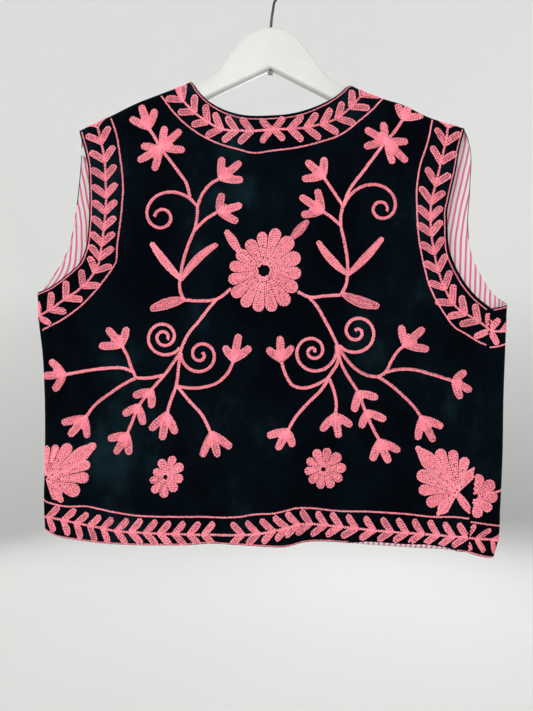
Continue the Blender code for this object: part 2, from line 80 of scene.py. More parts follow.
VELVET = 1.4
LINING = 1.0
LINING_GAP = 0.6
CLOTH = VELVET + LINING_GAP + LINING
SEAM_GAP = 0.5
LINING_INSET = 2.0

FOLD_RADIUS = 10.8
BULGE_BACK = 13.0
BULGE_FRONT = 15.0
BULGE_DROP = 480.0
BULGE_MOST = 1.2
# z, then x of the left and of the right side fold
SIDE_FOLDS = (
    (-680, -254, 253.5), (-650, -259, 262), (-615, -261.5, 264), (-560, -260.5, 266.5),
    (-480, -261, 268), (-440, -263, 269.5), (-400, -267.5, 271), (-365, -269, 272.5),
)
# x, then how far the cloth stands off the hanger's arm
ARM_LIFTS = (
    (-225, 0), (-185, 1.2), (-155, 3), (-125, 1.6), (-95, 0.4), (-86, 1.2), (86, 0), (108, 0.2),
    (130, 2.5), (149, 5.8), (163, 6), (177, 5.4), (192, 6.8), (210, 10.2), (225, 13.2),
)
HALF_PATTERN = 265.0
TWIST_TOP_Z = -162.0
TWIST_TOP = 9.0
TWIST_PER_MM = 0.105

# Soft folds of each side of the vest: x and z of the middle, direction from +X in degrees,
# half length, half width, and rise out of the vest. The last rows of each side are creases
# too fine for the solids.
FOLDS = {
    BACK: (
        (-188, -334, 3, 36, 9, -3.5), (-104, -297, 38, 26, 9, -2), (174, -200, 80, 44, 13, 3),
        (196, -330, 60, 40, 12, -3), (-6, -650, 90, 130, 26, 7), (60, -650, 88, 140, 24, -7),
        (-68, -650, 94, 110, 18, -5), (-150, -620, 84, 150, 30, 4), (142, -570, 98, 150, 32, 4.5),
        (208, -480, 86, 110, 20, -3.5), (-214, -500, 92, 130, 20, -4),
        (-178, -333, 4, 26, 2.6, -1.2), (-160, -352, -40, 20, 2.4, -0.7),
        (-100, -296, 32, 24, 2.6, 0.8), (-128, -250, 12, 22, 3, 0.6),
        (-84, -172, -14, 16, 2.6, 0.6), (-120, -196, -62, 20, 3, 0.6),
        (96, -232, -74, 30, 4, 0.7), (150, -262, -66, 34, 3.2, -0.8),
        (186, -196, 84, 36, 3.4, 0.9), (172, -338, 74, 40, 3.4, -0.8),
        (120, -472, 62, 46, 4, 0.6), (-160, -588, 33, 44, 3.2, 0.9),
        (-118, -612, 26, 34, 3, -0.7), (-206, -420, 84, 60, 4, -0.7), (226, -540, 88, 70, 4, 0.7),
        (30, -560, 82, 60, 4.4, 0.7), (34, -248, 20, 24, 3.4, 0.5),
    ),
    FRONT: (
        (190, -330, 128, 44, 11, -3.5), (-176, -205, 98, 46, 13, 3),
        (-192, -345, 55, 42, 12, -3.5), (-70, -640, 92, 150, 28, 6),
        (-140, -650, 86, 130, 24, -6), (96, -650, 90, 140, 26, -6), (160, -600, 95, 150, 28, 5),
        (215, -500, 88, 120, 20, -4), (84, -410, 108, 90, 26, -3), (176, -322, 130, 30, 2.8, -1),
        (120, -296, 146, 26, 2.8, 0.7), (-166, -214, 96, 34, 3.2, 0.8),
        (-180, -352, 50, 30, 2.8, -1), (-120, -470, 70, 52, 4, 0.7), (150, -590, 100, 60, 4, 0.7),
        (-90, -590, 86, 54, 3.6, -0.7), (96, -236, 78, 28, 3, 0.6),
    ),
}

# Edges of the cloth as (q, w)
SHOULDER_TIP = {LEFT: -221.0, RIGHT: 223.0}
NECK_POINT = {LEFT: -94.7, RIGHT: 95.7}
UNDERARM_W = {LEFT: -371.0, RIGHT: -387.0}
SEAM_HEM_W = {LEFT: -641.0, RIGHT: -662.5}
CENTRE_HEM_W = -660.0
BACK_NECK = (
    (-82, -140.8), (-74.5, -148.6), (-57, -160), (-36, -167), (0, -168.5), (24, -166), (55, -156),
    (75, -145),
)
# From the shoulder tip down to the side seam
ARMHOLES = {
    (BACK, LEFT): (
        (-212.5, -203), (-208, -223), (-206.5, -245), (-206.8, -290), (-210, -317), (-216, -332),
        (-234, -350), (-257, -365.5),
    ),
    (BACK, RIGHT): (
        (213.5, -206), (210.5, -225.5), (203, -259), (199.8, -275), (200, -293), (205, -328),
        (214.5, -349), (232, -372),
    ),
    (FRONT, LEFT): (
        (-221.5, -207), (-224.5, -243), (-228.5, -274), (-238, -317), (-248, -337),
        (-261, -355.5),
    ),
    (FRONT, RIGHT): (
        (229, -184), (232.5, -196), (232.8, -240), (230.5, -292), (234.5, -322), (246, -347),
        (263, -371), (284, -382),
    ),
}
# w, then q of the left and of the right front
FRONT_NECK = ((-160, -83, 85), (-215, -64, 70), (-262, -33, 45))
FRONT_NECK_BOTTOM_W = -300.0
CENTRE_FRONT_TOP = 9.0
CENTRE_FRONT_HEM = 30.0
CENTRE_FRONT_GAP = 2.5
# From left to right, without their ends
HEMS = {
    (BACK, BOTH): (
        (-255, -640.3), (-243, -645), (-228, -647.7), (-213, -649.5), (-193, -651.2),
        (-161, -651.2), (-112, -651.8), (-50, -650.4), (-8, -650), (18, -651.5), (36, -648.5),
        (62, -649), (101, -650), (141, -652.5), (195, -658.5),
    ),
    (FRONT, LEFT): ((-150, -648), (-60, -655)),
    (FRONT, RIGHT): (
        (112, -662.5), (188, -667), (240, -670.5), (268, -671), (290, -667.5),
    ),
}
# Fractions along a panel's edges, where the kind of edge changes
UNDERARM_V = 0.43
FRONT_NECK_V = 0.26
NECK_LEFT_U = 0.283
NECK_RIGHT_U = 0.707

# How the panels are divided here: (fraction along the edge, cells up to there)
ROWS = ((0.04, 14), (0.33, 28), (UNDERARM_V, 20), (1.0, 66))
COLUMNS = {
    (BACK, BOTH): (
        (0.085, 22), (NECK_LEFT_U, 18), (0.315, 10), (0.675, 40), (NECK_RIGHT_U, 10), (1.0, 36),
    ),
    (FRONT, LEFT): ((0.10, 12), (1.0, 50)),
    (FRONT, RIGHT): ((0.84, 44), (1.0, 28)),
}

# ---------------------------------------------------------------- the photograph's view

PHOTO_WIDTH = 533
PHOTO_HEIGHT = 711
PIXEL = 1.155
EYE_DISTANCE = 680.0
EYE_X = -5.2
EYE_Z = -440.3
SENSOR = 36.0
VIEW_ROUNDS = 6

# ---------------------------------------------------------------- the cloth's surface

# How far each way along the cloth its directions are taken
TANGENT_STEP = 0.2


def smooth_table(at, knots, values):
    """Read a table along a cubic curve through its points, level past both ends."""
    knots = np.asarray(knots, float)
    values = np.asarray(values, float)
    slopes = np.gradient(values, knots)
    cell = np.clip(np.searchsorted(knots, at) - 1, 0, len(knots) - 2)
    width = knots[cell + 1] - knots[cell]
    t = np.clip((at - knots[cell]) / width, 0.0, 1.0)
    start = values[cell] * (1 + 2 * t) * (1 - t) ** 2 + slopes[cell] * width * t * (1 - t) ** 2
    end = values[cell + 1] * t * t * (3 - 2 * t) - slopes[cell + 1] * width * t * t * (1 - t)
    return start + end


def unit(steps):
    """Directions of steps."""
    return steps / np.linalg.norm(steps, axis=-1, keepdims=True)


def distances(points):
    """Distances of a line's points along it from its start."""
    return np.concatenate(([0.0], np.cumsum(np.hypot(*np.diff(points, axis=0).T))))


def at_distances(points, at):
    """Places on a line of points, at distances along it."""
    length = distances(points)
    return np.stack([np.interp(at, length, line) for line in points.T], axis=-1)


def along(points, fraction):
    """Points of a smooth curve through a list of (q, w), at fractions of its length."""
    points = np.asarray(points, float)
    length = distances(points)
    at = np.asarray(fraction, float) * length[-1]
    return np.stack([smooth_table(at, length, line) for line in points.T], axis=-1)


def stops(divisions):
    """Fractions from 0 to 1 that split each stretch into its number of cells."""
    values = [0.0]
    for end, cells in divisions:
        start = values[-1]
        values += [start + (end - start) * (k + 1) / cells for k in range(cells)]
    return np.array(values)


def side_fold_x(z, hand):
    """x of the side fold at a height, as a distance from the middle plane."""
    heights, left, right = np.array(SIDE_FOLDS).T
    away = -smooth_table(z, heights, left), smooth_table(z, heights, right)
    return np.where(np.asarray(hand) < 0, *away)


def arm_line(x):
    """Upper edge of the tilted hanger's arms, carried on inwards, and its slope."""
    hand = np.where(x < 0, LEFT, RIGHT)
    slope = np.tan(ARM_SLOPE + hand * HANGER_TILT)
    along_x, along_z = math.cos(HANGER_TILT), math.sin(HANGER_TILT)
    drop = BOARD_OUTLINE[-1][1]
    start_x = hand * ARM_START_X * along_x - drop * along_z
    start_z = CROWN_Z - hand * ARM_START_X * along_z - drop * along_x
    return start_z - slope * (np.abs(x) - np.abs(start_x)), slope


def ridge_z(x):
    """Top of the cloth where it goes over an arm, and the height of its rounding."""
    top, slope = arm_line(x)
    upright = np.sqrt(1 + slope ** 2)
    lift = smooth_table(x, *zip(*ARM_LIFTS))
    return top + (CLOTH + SEAT_GAP) * upright + lift, FOLD_RADIUS * upright


def soft_folds(side, x, z):
    """Rise of the cloth's folds and fine creases at a place on one side of the vest."""
    rise = np.zeros(np.broadcast(x, z).shape)
    for x0, z0, degrees, half_length, half_width, height in FOLDS[side]:
        run = math.radians(degrees)
        forward = (x - x0) * math.cos(run) + (z - z0) * math.sin(run)
        across = (z - z0) * math.cos(run) - (x - x0) * math.sin(run)
        rise += height * np.exp(-(forward / half_length) ** 2 - (across / half_width) ** 2)
    return rise


def cloth_point(side, q, w):
    """Outer surface of the cloth on the back or the fronts."""
    q, w = np.broadcast_arrays(np.asarray(q, float), np.asarray(w, float))
    hand = np.where(q < 0, LEFT, RIGHT)
    flat = side_fold_x(w, hand) - FOLD_RADIUS
    crest = flat + FOLD_RADIUS * math.pi / 2
    past = np.abs(q) > crest
    reach = np.where(past, 2 * crest - np.abs(q), np.abs(q))
    side = np.where(past, -side, side)
    turn = np.clip((reach - flat) / FOLD_RADIUS, 0.0, math.pi / 2)
    x = hand * np.where(reach > flat, flat + FOLD_RADIUS * np.sin(turn), reach)
    top, rounding = ridge_z(x)
    tip = np.clip((w - (top - rounding)) / rounding, 0.0, math.pi / 2)
    z = np.where(tip > 0, top - rounding + rounding * np.sin(tip), w)
    drop = np.clip((top - z) / BULGE_DROP, 0.0, BULGE_MOST)
    middle = 1 - np.clip(np.abs(x) / (flat + FOLD_RADIUS), 0.0, 1.0) ** 2
    bulge = np.where(side < 0, BULGE_BACK, BULGE_FRONT) * drop * middle
    folds = np.where(side < 0, soft_folds(BACK, x, z), soft_folds(FRONT, x, z))
    y = side * np.cos(turn) * np.cos(tip) * (FOLD_RADIUS + bulge + folds)
    return np.stack([x, y, z], axis=-1)


def cloth_frame(side, q, w):
    """The surface's point, its directions along q and w, and its outward normal."""
    at = partial(cloth_point, side)
    across = (at(q + TANGENT_STEP, w) - at(q - TANGENT_STEP, w)) / (2 * TANGENT_STEP)
    upward = (at(q, w + TANGENT_STEP) - at(q, w - TANGENT_STEP)) / (2 * TANGENT_STEP)
    return at(q, w), across, upward, unit(np.cross(across, upward) * -side)


def cloth_inside(side, q, w, depth):
    """The surface a depth below the outer one, along the cloth's normal."""
    point, _, _, normal = cloth_frame(side, q, w)
    return point - depth * normal


def seam_q(hand, w):
    """Back coordinate of a side seam: the pattern's edge, moved over by the twist."""
    return hand * HALF_PATTERN + TWIST_TOP - TWIST_PER_MM * (TWIST_TOP_Z - w)


def to_front(q, w):
    """The same place past a side fold, in the other side's coordinate."""
    hand = np.where(q < 0, LEFT, RIGHT)
    crest = side_fold_x(w, hand) - FOLD_RADIUS + FOLD_RADIUS * math.pi / 2
    return hand * (2 * crest - np.abs(q))


def seam_top(x):
    """w of the shoulder seam, on the crest over the arm."""
    top, rounding = ridge_z(np.asarray(x, float))
    return top + rounding * (math.pi / 2 - 1) - SEAM_GAP / 2


def part_way(v, start, end):
    """Fraction of the stretch from start to end that an edge's fraction v has gone."""
    return np.clip((v - start) / (end - start), 0, 1)


def side_edge(side, hand, v):
    """One long edge of a panel: the armhole, then the side seam down to the hem."""
    down = part_way(np.append(v, 0.0), UNDERARM_V, 1)
    w = UNDERARM_W[hand] + (SEAM_HEM_W[hand] - UNDERARM_W[hand]) * down
    q = seam_q(hand, w)
    if side == FRONT:
        q = to_front(q, w)
    seam = np.stack([q - hand * SEAM_GAP / 2, w], axis=-1)
    tip = SHOULDER_TIP[hand]
    route = [(tip, float(seam_top(tip))), *ARMHOLES[side, hand], tuple(seam[-1])]
    return np.where((v < UNDERARM_V)[:, None], along(route, part_way(v, 0, UNDERARM_V)), seam[:-1])


def neck_point(hand):
    """(q, w) where the neckline meets the shoulder seam."""
    return (NECK_POINT[hand], float(seam_top(NECK_POINT[hand])))


def centre_edge(hand, v):
    """The neckline and the straight closing edge of one front."""
    middle = CENTRE_FRONT_TOP + hand * CENTRE_FRONT_GAP / 2
    neck = [neck_point(hand)]
    neck += [(left if hand == LEFT else right, w) for w, left, right in FRONT_NECK]
    neck += [(middle, FRONT_NECK_BOTTOM_W)]
    down = part_way(v, FRONT_NECK_V, 1)
    q = middle + (CENTRE_FRONT_HEM - CENTRE_FRONT_TOP) * down
    w = FRONT_NECK_BOTTOM_W + (CENTRE_HEM_W - FRONT_NECK_BOTTOM_W) * down
    upper = along(neck, part_way(v, 0, FRONT_NECK_V))
    return np.where((v < FRONT_NECK_V)[:, None], upper, np.stack([q, w], axis=-1))


def shoulder_edge(x_start, x_end, fraction):
    """The shoulder seam between two distances from the middle."""
    x = x_start + (x_end - x_start) * fraction
    return np.stack([x, seam_top(x)], axis=-1)


def back_neckline(fraction):
    """The back's neckline from the left neck point to the right one."""
    return along([neck_point(LEFT), *BACK_NECK, neck_point(RIGHT)], fraction)


def top_edge(side, hand, u):
    """Shoulder seam of a front, or both of the back's with its neckline between them."""
    if side == FRONT:
        return shoulder_edge(*sorted((SHOULDER_TIP[hand], NECK_POINT[hand])), u)
    first = shoulder_edge(SHOULDER_TIP[LEFT], NECK_POINT[LEFT], part_way(u, 0, NECK_LEFT_U))
    middle = back_neckline(part_way(u, NECK_LEFT_U, NECK_RIGHT_U))
    last = shoulder_edge(NECK_POINT[RIGHT], SHOULDER_TIP[RIGHT], part_way(u, NECK_RIGHT_U, 1))
    edge = np.where((u <= NECK_LEFT_U)[:, None], first, middle)
    return np.where((u > NECK_RIGHT_U)[:, None], last, edge)


def long_edges(side, hand):
    """A panel's left and right long edges, as functions of the fraction down them."""
    if side == BACK:
        return partial(side_edge, BACK, LEFT), partial(side_edge, BACK, RIGHT)
    return (partial(side_edge, FRONT, hand), partial(centre_edge, hand))[::-hand]


def hem_edge(side, hand, u):
    """A hem from the foot of one long edge, through its points, to the other's."""
    left, right = (tuple(edge(np.array([1.0]))[0]) for edge in long_edges(side, hand))
    return along([left, *HEMS[side, hand], right], u)


def patch(side, hand, u, v):
    """Grid of (q, w) of a panel, between its four edges."""
    left, right = (edge(v)[:, None] for edge in long_edges(side, hand))
    top, hem = top_edge(side, hand, u), hem_edge(side, hand, u)
    u, v = u[None, :, None], v[:, None, None]
    across = (1 - v) * top + v * hem
    down = (1 - u) * left + u * right
    corners = (1 - v) * ((1 - u) * top[0] + u * top[-1]) + v * ((1 - u) * hem[0] + u * hem[-1])
    return across + down - corners


def on_back(pixels):
    """(q, w) of the cloth that the photograph shows at its pixels."""
    pixels = np.asarray(pixels, float).reshape(-1, 2)
    y = np.full(len(pixels), -FOLD_RADIUS)
    for _ in range(VIEW_ROUNDS):
        scale = PIXEL * (1 + y / EYE_DISTANCE)
        x = EYE_X + (pixels[:, 0] - PHOTO_WIDTH / 2) * scale
        z = EYE_Z - (pixels[:, 1] - PHOTO_HEIGHT / 2) * scale
        hand = np.where(x < 0, LEFT, RIGHT)
        flat = side_fold_x(z, hand) - FOLD_RADIUS
        turn = np.arcsin(np.clip((np.abs(x) - flat) / FOLD_RADIUS, 0.0, 1.0))
        q = hand * (np.minimum(np.abs(x), flat) + FOLD_RADIUS * turn)
        top, rounding = ridge_z(x)
        tip = np.arcsin(np.clip((z - top + rounding) / rounding, 0.0, 1.0))
        w = np.minimum(z, top - rounding) + rounding * tip
        y = cloth_point(BACK, q, w)[:, 1]
    return np.stack([q, w], axis=-1)


# ---------------------------------------------------------------- rows of chain stitch

ROW_WIDTH = 2.1
ROW_SPACING = 1.95
ROW_SHADE = 0.42
STEM_WIDTH = 3.75
THIN_STEM = 2.9
SPIRAL_PLACES = 40
NEVER_ZERO = 1e-9
# A petal's rows: places along its outline and along its rows, how near its edge a row may
# start, its shortest end, and how inner rows grow darker and loose ones narrower
OUTLINE_PLACES = 80
SIDE_PLACES = 24
END_PLACES = 12
MIDDLE_PLACES = 16
ROW_SLACK = 0.3
SHORTEST_END = 0.02
SHORTEST_ROW = 0.05
INNER_SHADE = 0.08
LOOSE_NARROWING = 0.45
SPRIG_LEAF = dict(width=9.0, root=0.45, belly=0.6, point=0.9, loose=0.2)
SPRIG_WEB = dict(width=6.3, root=0.4, belly=0.6, point=0.8, tone=-0.6)
SPRIG_WEB_REACH = 0.6
STAR_PETAL = dict(width=8.8, root=0.4, belly=0.6, point=0.9, loose=0.15)
STAR_WEB = dict(width=7.0, root=0.4, belly=0.6, point=0.8, tone=-0.6)
STAR_WEB_REACH = 0.55
STAR_WEB_LIMIT = 0.8
GARLAND_LEAF = dict(root=0.6, belly=0.6, point=0.92, loose=0.3)
GARLAND_BOW = 0.9
GARLAND_UNEVENNESS = 0.05
GARLAND_STEP = 7
WEDGE_POINT = 0.97
WEDGE_END = 0.55
PETAL_GAP = 0.9
FAN_TONE = 0.35
POINTED_BELOW = 0.9
POINTED_PETAL = dict(root=0.08, belly=0.66, cap=0.8, swell=1)
POINTED_EXTRA = 1.5
EDGE_ROW = 1.5
EDGE_TONE = -0.6
EDGE_INSET = 2.1
HEM_INSET = 0.7
# Fraction along an edge, then how far its row lies from it: back's neckline, right armhole
NECK_INSETS = ((0.0, 1.6), (0.14, 2.0), (0.34, 3.6), (0.66, 3.6), (0.86, 2.0), (1.0, 1.6))
RIGHT_ARM_INSETS = ((0.0, 1.8), (0.18, 2.2), (0.27, 3.8), (0.43, 4.4))
# How far stitches keep from the seams, the hem and the hem where it is lifted
SEAM_CLEAR = 1.0
HEM_CLEAR = 0.4
LIFTED_CLEAR = 1.2


def curve_through(points):
    """A smooth curve through a few points, as points about a millimetre apart."""
    length = distances(points)[-1]
    return along(points, np.linspace(0, 1, max(3, int(length))))


def beside(curve, distance):
    """A curve moved over to its left by a distance, or by one for each of its points."""
    run = np.gradient(curve, axis=0)
    run /= np.linalg.norm(run, axis=1, keepdims=True) + NEVER_ZERO
    return curve + np.reshape(distance, (-1, 1)) * np.stack([-run[:, 1], run[:, 0]], axis=-1)


def polar(reach, turn):
    """Places at distances and angles from the middle."""
    return np.asarray(reach)[..., None] * np.stack([np.cos(turn), np.sin(turn)], axis=-1)


class Embroidery:
    """Rows of chain stitch on one side of the vest, as (points, width, tone)."""

    def __init__(self, name, side):
        self.name = name
        self.side = side
        self.rows = []

    def row(self, points, width=ROW_WIDTH, tone=0.0):
        """One row; the higher its tone, the lighter it is."""
        self.rows.append((np.asarray(points, float), width, tone))

    def edge_row(self, points):
        """A thin darker row, as along an edge."""
        self.row(points, EDGE_ROW, EDGE_TONE)

    def stem(self, points):
        """Two rows side by side along a smooth curve."""
        curve = curve_through(points)
        for side in (-1, 1):
            self.row(beside(curve, side * (STEM_WIDTH - ROW_WIDTH) / 2))

    def petal(self, base, tip, width, root=0.65, belly=0.55, point=0.75, cap=0.5, swell=2,
              bend=0.0, tone=0.0, loose=0.0):
        """Nested rows that fill a leaf or petal: root and point are shares of its width, belly
        is how far along it is widest, and cap is its rounded end's length in such widths."""
        base, tip = np.asarray(base, float), np.asarray(tip, float)
        length = np.hypot(*(tip - base))
        forward = (tip - base) / length
        across = np.array([-forward[1], forward[0]])
        shoulder = max(1 - cap * point * width / length, belly + SHORTEST_END)
        count = max(2, round(width / ROW_SPACING))
        fine = np.linspace(0, shoulder, OUTLINE_PLACES)

        def half(t):
            rise = root + (1 - root) * (1 - (1 - np.clip(t / belly, 0, 1)) ** swell)
            fall = np.clip((t - belly) / (shoulder - belly), 0, 1)
            return width / 2 * (rise - (1 - point) * (1 - np.cos(fall * math.pi / 2)))

        for k in range((count + 1) // 2):
            is_middle = 2 * k + 1 == count
            inset = width / count * (k if is_middle else k + 0.5)
            inside = fine[half(fine) > inset - ROW_SLACK]
            if not len(inside):
                continue
            first, last, end = inside[0], inside[-1], 1 - inset / length
            if is_middle:
                if last < shoulder:
                    end = min(last, end)
                t = np.linspace(first, max(end, first + SHORTEST_ROW), MIDDLE_PLACES)
                x = np.zeros(len(t))
            else:
                t = np.linspace(first, last, SIDE_PLACES)
                x = np.maximum(half(t) - inset, 0.0)
                if last == shoulder:
                    turn = np.linspace(0, math.pi / 2, END_PLACES)[1:]
                    t = np.concatenate([t, shoulder + max(end - shoulder, 0.0) * np.sin(turn)])
                    x = np.concatenate([x, x[-1] * np.cos(turn)])
                t = np.concatenate([t, t[-2::-1]])
                x = np.concatenate([x, -x[-2::-1]])
            x = x + bend * 4 * t * (1 - t)
            inner = min(k, 1) * loose
            self.row(
                base + (t * length)[:, None] * forward + x[:, None] * across,
                ROW_WIDTH * (1 - LOOSE_NARROWING * inner), tone - INNER_SHADE * k - inner,
            )

    def leaf(self, base, tip, **shape):
        """A leaf between two of the photograph's pixels."""
        self.petal(*on_back((base, tip)), **shape)

    def sprig(self, base, *tips):
        """Leaves that spread from one place, joined by short ones between them near it."""
        for tip in tips:
            self.petal(base, tip, **SPRIG_LEAF)
        for one, two in zip(tips[:-1], tips[1:]):
            middle = (one + two) / 2 - base
            self.petal(base, base + SPRIG_WEB_REACH * middle, **SPRIG_WEB)

    def star(self, centre, *tips):
        """A flower of a few petals, those close together joined near the middle."""
        for tip in tips:
            self.petal(centre, tip, **STAR_PETAL)
        for one, two in zip(tips, np.roll(tips, -1, axis=0)):
            middle = (one + two) / 2 - centre
            if np.hypot(*middle) > STAR_WEB_LIMIT * np.hypot(*(one - centre)):
                self.petal(centre, centre + STAR_WEB_REACH * middle, **STAR_WEB)

    def wedge(self, centre, reach, turn, spread, hole=0.0, point=WEDGE_POINT, tone=0.0):
        """A petal that fills an angle, spread being the tangent of its half, out to its end."""
        way = polar(1.0, turn)
        width = 2 * reach * spread / (1 + spread) - PETAL_GAP
        self.petal(
            centre + hole * way, centre + reach * way, width, root=2 * hole * spread / width,
            belly=(reach - hole - WEDGE_END * width) / (reach - hole), point=point, swell=1,
            tone=tone,
        )

    def flower(self, centre, tips, hole, tone):
        """Petals all round a hole, out to tips that are given in order round it."""
        ways = np.asarray(tips) - centre
        turns = np.arctan2(ways[:, 1], ways[:, 0])
        after = (np.roll(turns, -1) - turns + math.pi) % (2 * math.pi) - math.pi
        middles, spreads = shared_out(turns, np.roll(after, 1), after)
        for reach, turn, spread in zip(np.hypot(*ways.T), middles, spreads):
            self.wedge(centre, reach, turn, spread, hole, tone=tone)

    def fan(self, base, tips, points):
        """Petals that spread from one place; points are shares of the width at their ends."""
        ways = np.asarray(tips) - base
        turns = np.unwrap(np.arctan2(ways[:, 1], ways[:, 0]))
        gaps = np.diff(turns)
        before, after = np.insert(gaps, 0, gaps[0]), np.append(gaps, gaps[-1])
        middles, spreads = shared_out(turns, before, after)
        reaches = np.hypot(*ways.T)
        for tip, reach, turn, spread, point in zip(tips, reaches, middles, spreads, points):
            if point < POINTED_BELOW:
                width = 2 * POINTED_PETAL["belly"] * reach * spread + POINTED_EXTRA
                self.petal(base, tip, width, point=point, tone=FAN_TONE, **POINTED_PETAL)
            else:
                self.wedge(base, reach, turn, spread, 0.0, point, FAN_TONE)

    def garland(self, nodes, leaf, lean=(46, 46), width=8.0, ends=(1, None)):
        """A stem through nodes, with a pair of leaves that lean forward from each."""
        nodes = np.asarray(nodes, float)
        self.row(curve_through(nodes), THIN_STEM)
        for k in range(len(nodes))[slice(*ends)]:
            way = nodes[min(k + 1, len(nodes) - 1)] - nodes[max(k - 1, 0)]
            heading = math.atan2(way[1], way[0])
            for side, angle in zip((-1, 1), lean):
                reach = leaf * (1 + GARLAND_UNEVENNESS * math.sin(GARLAND_STEP * k + side))
                tip = nodes[k] + polar(reach, heading + side * math.radians(angle))
                self.petal(nodes[k], tip, width, bend=-side * GARLAND_BOW, **GARLAND_LEAF)


def shared_out(turns, before, after):
    """Directions of petals and the tangents of their half angles, between their neighbours."""
    return turns + (after - before) / 4, np.tan(np.abs(after + before) / 4)


FRONT_SEEDS = {LEFT: 11, RIGHT: 12}
# Random differences between stitches: pitch of a row, place of its first stitch in pitches,
# then spreads of place, direction, width and tone
STITCH_PITCH = 2.8
PITCH_RANGE = (0.92, 1.12)
FIRST_RANGE = (0.2, 0.8)
PLACE_SPREAD = 0.10
TURN_SPREAD = 0.09
WIDTH_SPREAD = 0.05
TONE_SPREAD = 0.3
# How far ahead of and behind its middle a stitch takes its direction, in lengths
WAY_REACH = 0.4


def stitches(rows, seed):
    """Centres, directions, lengths, widths and tones of all the stitches of some rows."""
    random = np.random.default_rng(seed)
    parts = []
    for points, width, tone in rows:
        total = distances(points)[-1]
        count = max(1, round(total / STITCH_PITCH / random.uniform(*PITCH_RANGE)))
        at = (np.arange(count) + random.uniform(*FIRST_RANGE)) * total / count
        reach = WAY_REACH * total / count
        way = at_distances(points, at + reach) - at_distances(points, at - reach)
        turn = np.arctan2(way[:, 1], way[:, 0])
        shade = tone + random.normal(0, ROW_SHADE)
        rest = np.tile((total / count, width, shade), (count, 1))
        parts.append(np.column_stack([at_distances(points, at), turn, rest]))
    table = np.concatenate(parts)
    count = len(table)
    table[:, 0:2] += random.normal(0, PLACE_SPREAD, (count, 2))
    table[:, 2] += random.normal(0, TURN_SPREAD, count)
    table[:, 4] *= 1 + random.normal(0, WIDTH_SPREAD, count)
    table[:, 5] += random.normal(0, TONE_SPREAD, count)
    return table


# One of a stitch's two threads: (along in lengths, across in widths, half its own width in
# widths, height of its ridge), a point at each end and rings of three between
THREAD_TAIL = (-0.60, 0.06)
THREAD_RINGS = ((-0.22, 0.20, 0.245, 0.44), (0.28, 0.265, 0.255, 0.52))
THREAD_HEAD = (0.62, 0.10)
THREAD_FOOT = 0.18
RING = 3


def thread_shape(side):
    """Points of one thread: along in lengths, across in widths, and height in millimetres."""
    points = [(THREAD_TAIL[0], side * THREAD_TAIL[1], THREAD_FOOT)]
    for s, across, half, height in THREAD_RINGS:
        for k in range(RING):
            turn = k * math.pi / (RING - 1)
            lift = height * math.sin(turn)
            points.append((s, side * (across + half * math.cos(turn)), THREAD_FOOT + lift))
    points.append((THREAD_HEAD[0], side * THREAD_HEAD[1], THREAD_FOOT))
    return np.array(points)


def stitch_arrays(side, table):
    """Points, tones and faces of all the stitches in a table, set on the cloth."""
    q, w, turn, length, width, tone = table.T
    point, across_q, up_w, normal = cloth_frame(side, q, w)
    ahead = unit(np.cos(turn)[:, None] * across_q + np.sin(turn)[:, None] * up_w)
    beyond = np.cross(normal, ahead)
    shape = np.concatenate([thread_shape(-1), thread_shape(1)])
    s = shape[:, 0] * length[:, None]
    x = shape[:, 1] * width[:, None]
    rise = shape[:, 2] * (width / ROW_WIDTH)[:, None]
    points = point[:, None] + s[..., None] * ahead[:, None] + x[..., None] * beyond[:, None]
    points = points + rise[..., None] * normal[:, None]
    per = len(shape)
    faces = [], []
    for tail, step in ((0, 1), (per // 2, -1)):
        head = tail + 1 + 2 * RING
        for k in range(RING):
            a, b = tail + 1 + k, tail + 1 + (k + 1) % RING
            three = [(tail, b, a), (head, a + RING, b + RING)]
            faces[0].extend(f[::step] for f in three)
            faces[1].append((a, b, b + RING, a + RING)[::step])
    start = (np.arange(len(table)) * per)[:, None, None]
    faces = [(start + np.array(kind)[None]).reshape(-1, len(kind[0])) for kind in faces]
    return points.reshape(-1, 3), np.repeat(tone, per), faces


def add_object(name, data):
    """Put new data in the scene as an object."""
    item = bpy.data.objects.new(name, data)
    bpy.context.scene.collection.objects.link(item)
    return item


def write_mesh(name, points, face_sets, attributes=()):
    """A smooth mesh from arrays in millimetres; attributes are (name, values) a point."""
    mesh = bpy.data.meshes.new(name)
    corners = np.concatenate([faces.ravel() for faces in face_sets])
    sizes = np.concatenate([np.full(len(faces), faces.shape[1]) for faces in face_sets])
    mesh.vertices.add(len(points))
    mesh.vertices.foreach_set("co", (points * MM).astype(np.float32).ravel())
    mesh.loops.add(len(corners))
    mesh.loops.foreach_set("vertex_index", corners.astype(np.int32))
    mesh.polygons.add(len(sizes))
    starts = np.concatenate(([0], np.cumsum(sizes)[:-1]))
    mesh.polygons.foreach_set("loop_start", starts.astype(np.int32))
    mesh.update(calc_edges=True)
    for label, values in attributes:
        kind, field = ("FLOAT_VECTOR", "vector") if values.ndim == 2 else ("FLOAT", "value")
        layer = mesh.attributes.new(label, kind, "POINT")
        layer.data.foreach_set(field, values.astype(np.float32).ravel())
    mesh.shade_smooth()
    return add_object(name, mesh)


def sew(work, material, seed, keep):
    """Make a piece of the stitches of one embroidery that keep() says lie on its panels."""
    table = stitches(work.rows, seed)
    table = table[keep(table[:, 0], table[:, 1])]
    points, tones, faces = stitch_arrays(work.side, table)
    piece = write_mesh(work.name, points, faces, [("tone", tones)])
    piece.data.materials.append(material)
    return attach(piece, "root")


# ---------------------------------------------------------------- the embroidery's design

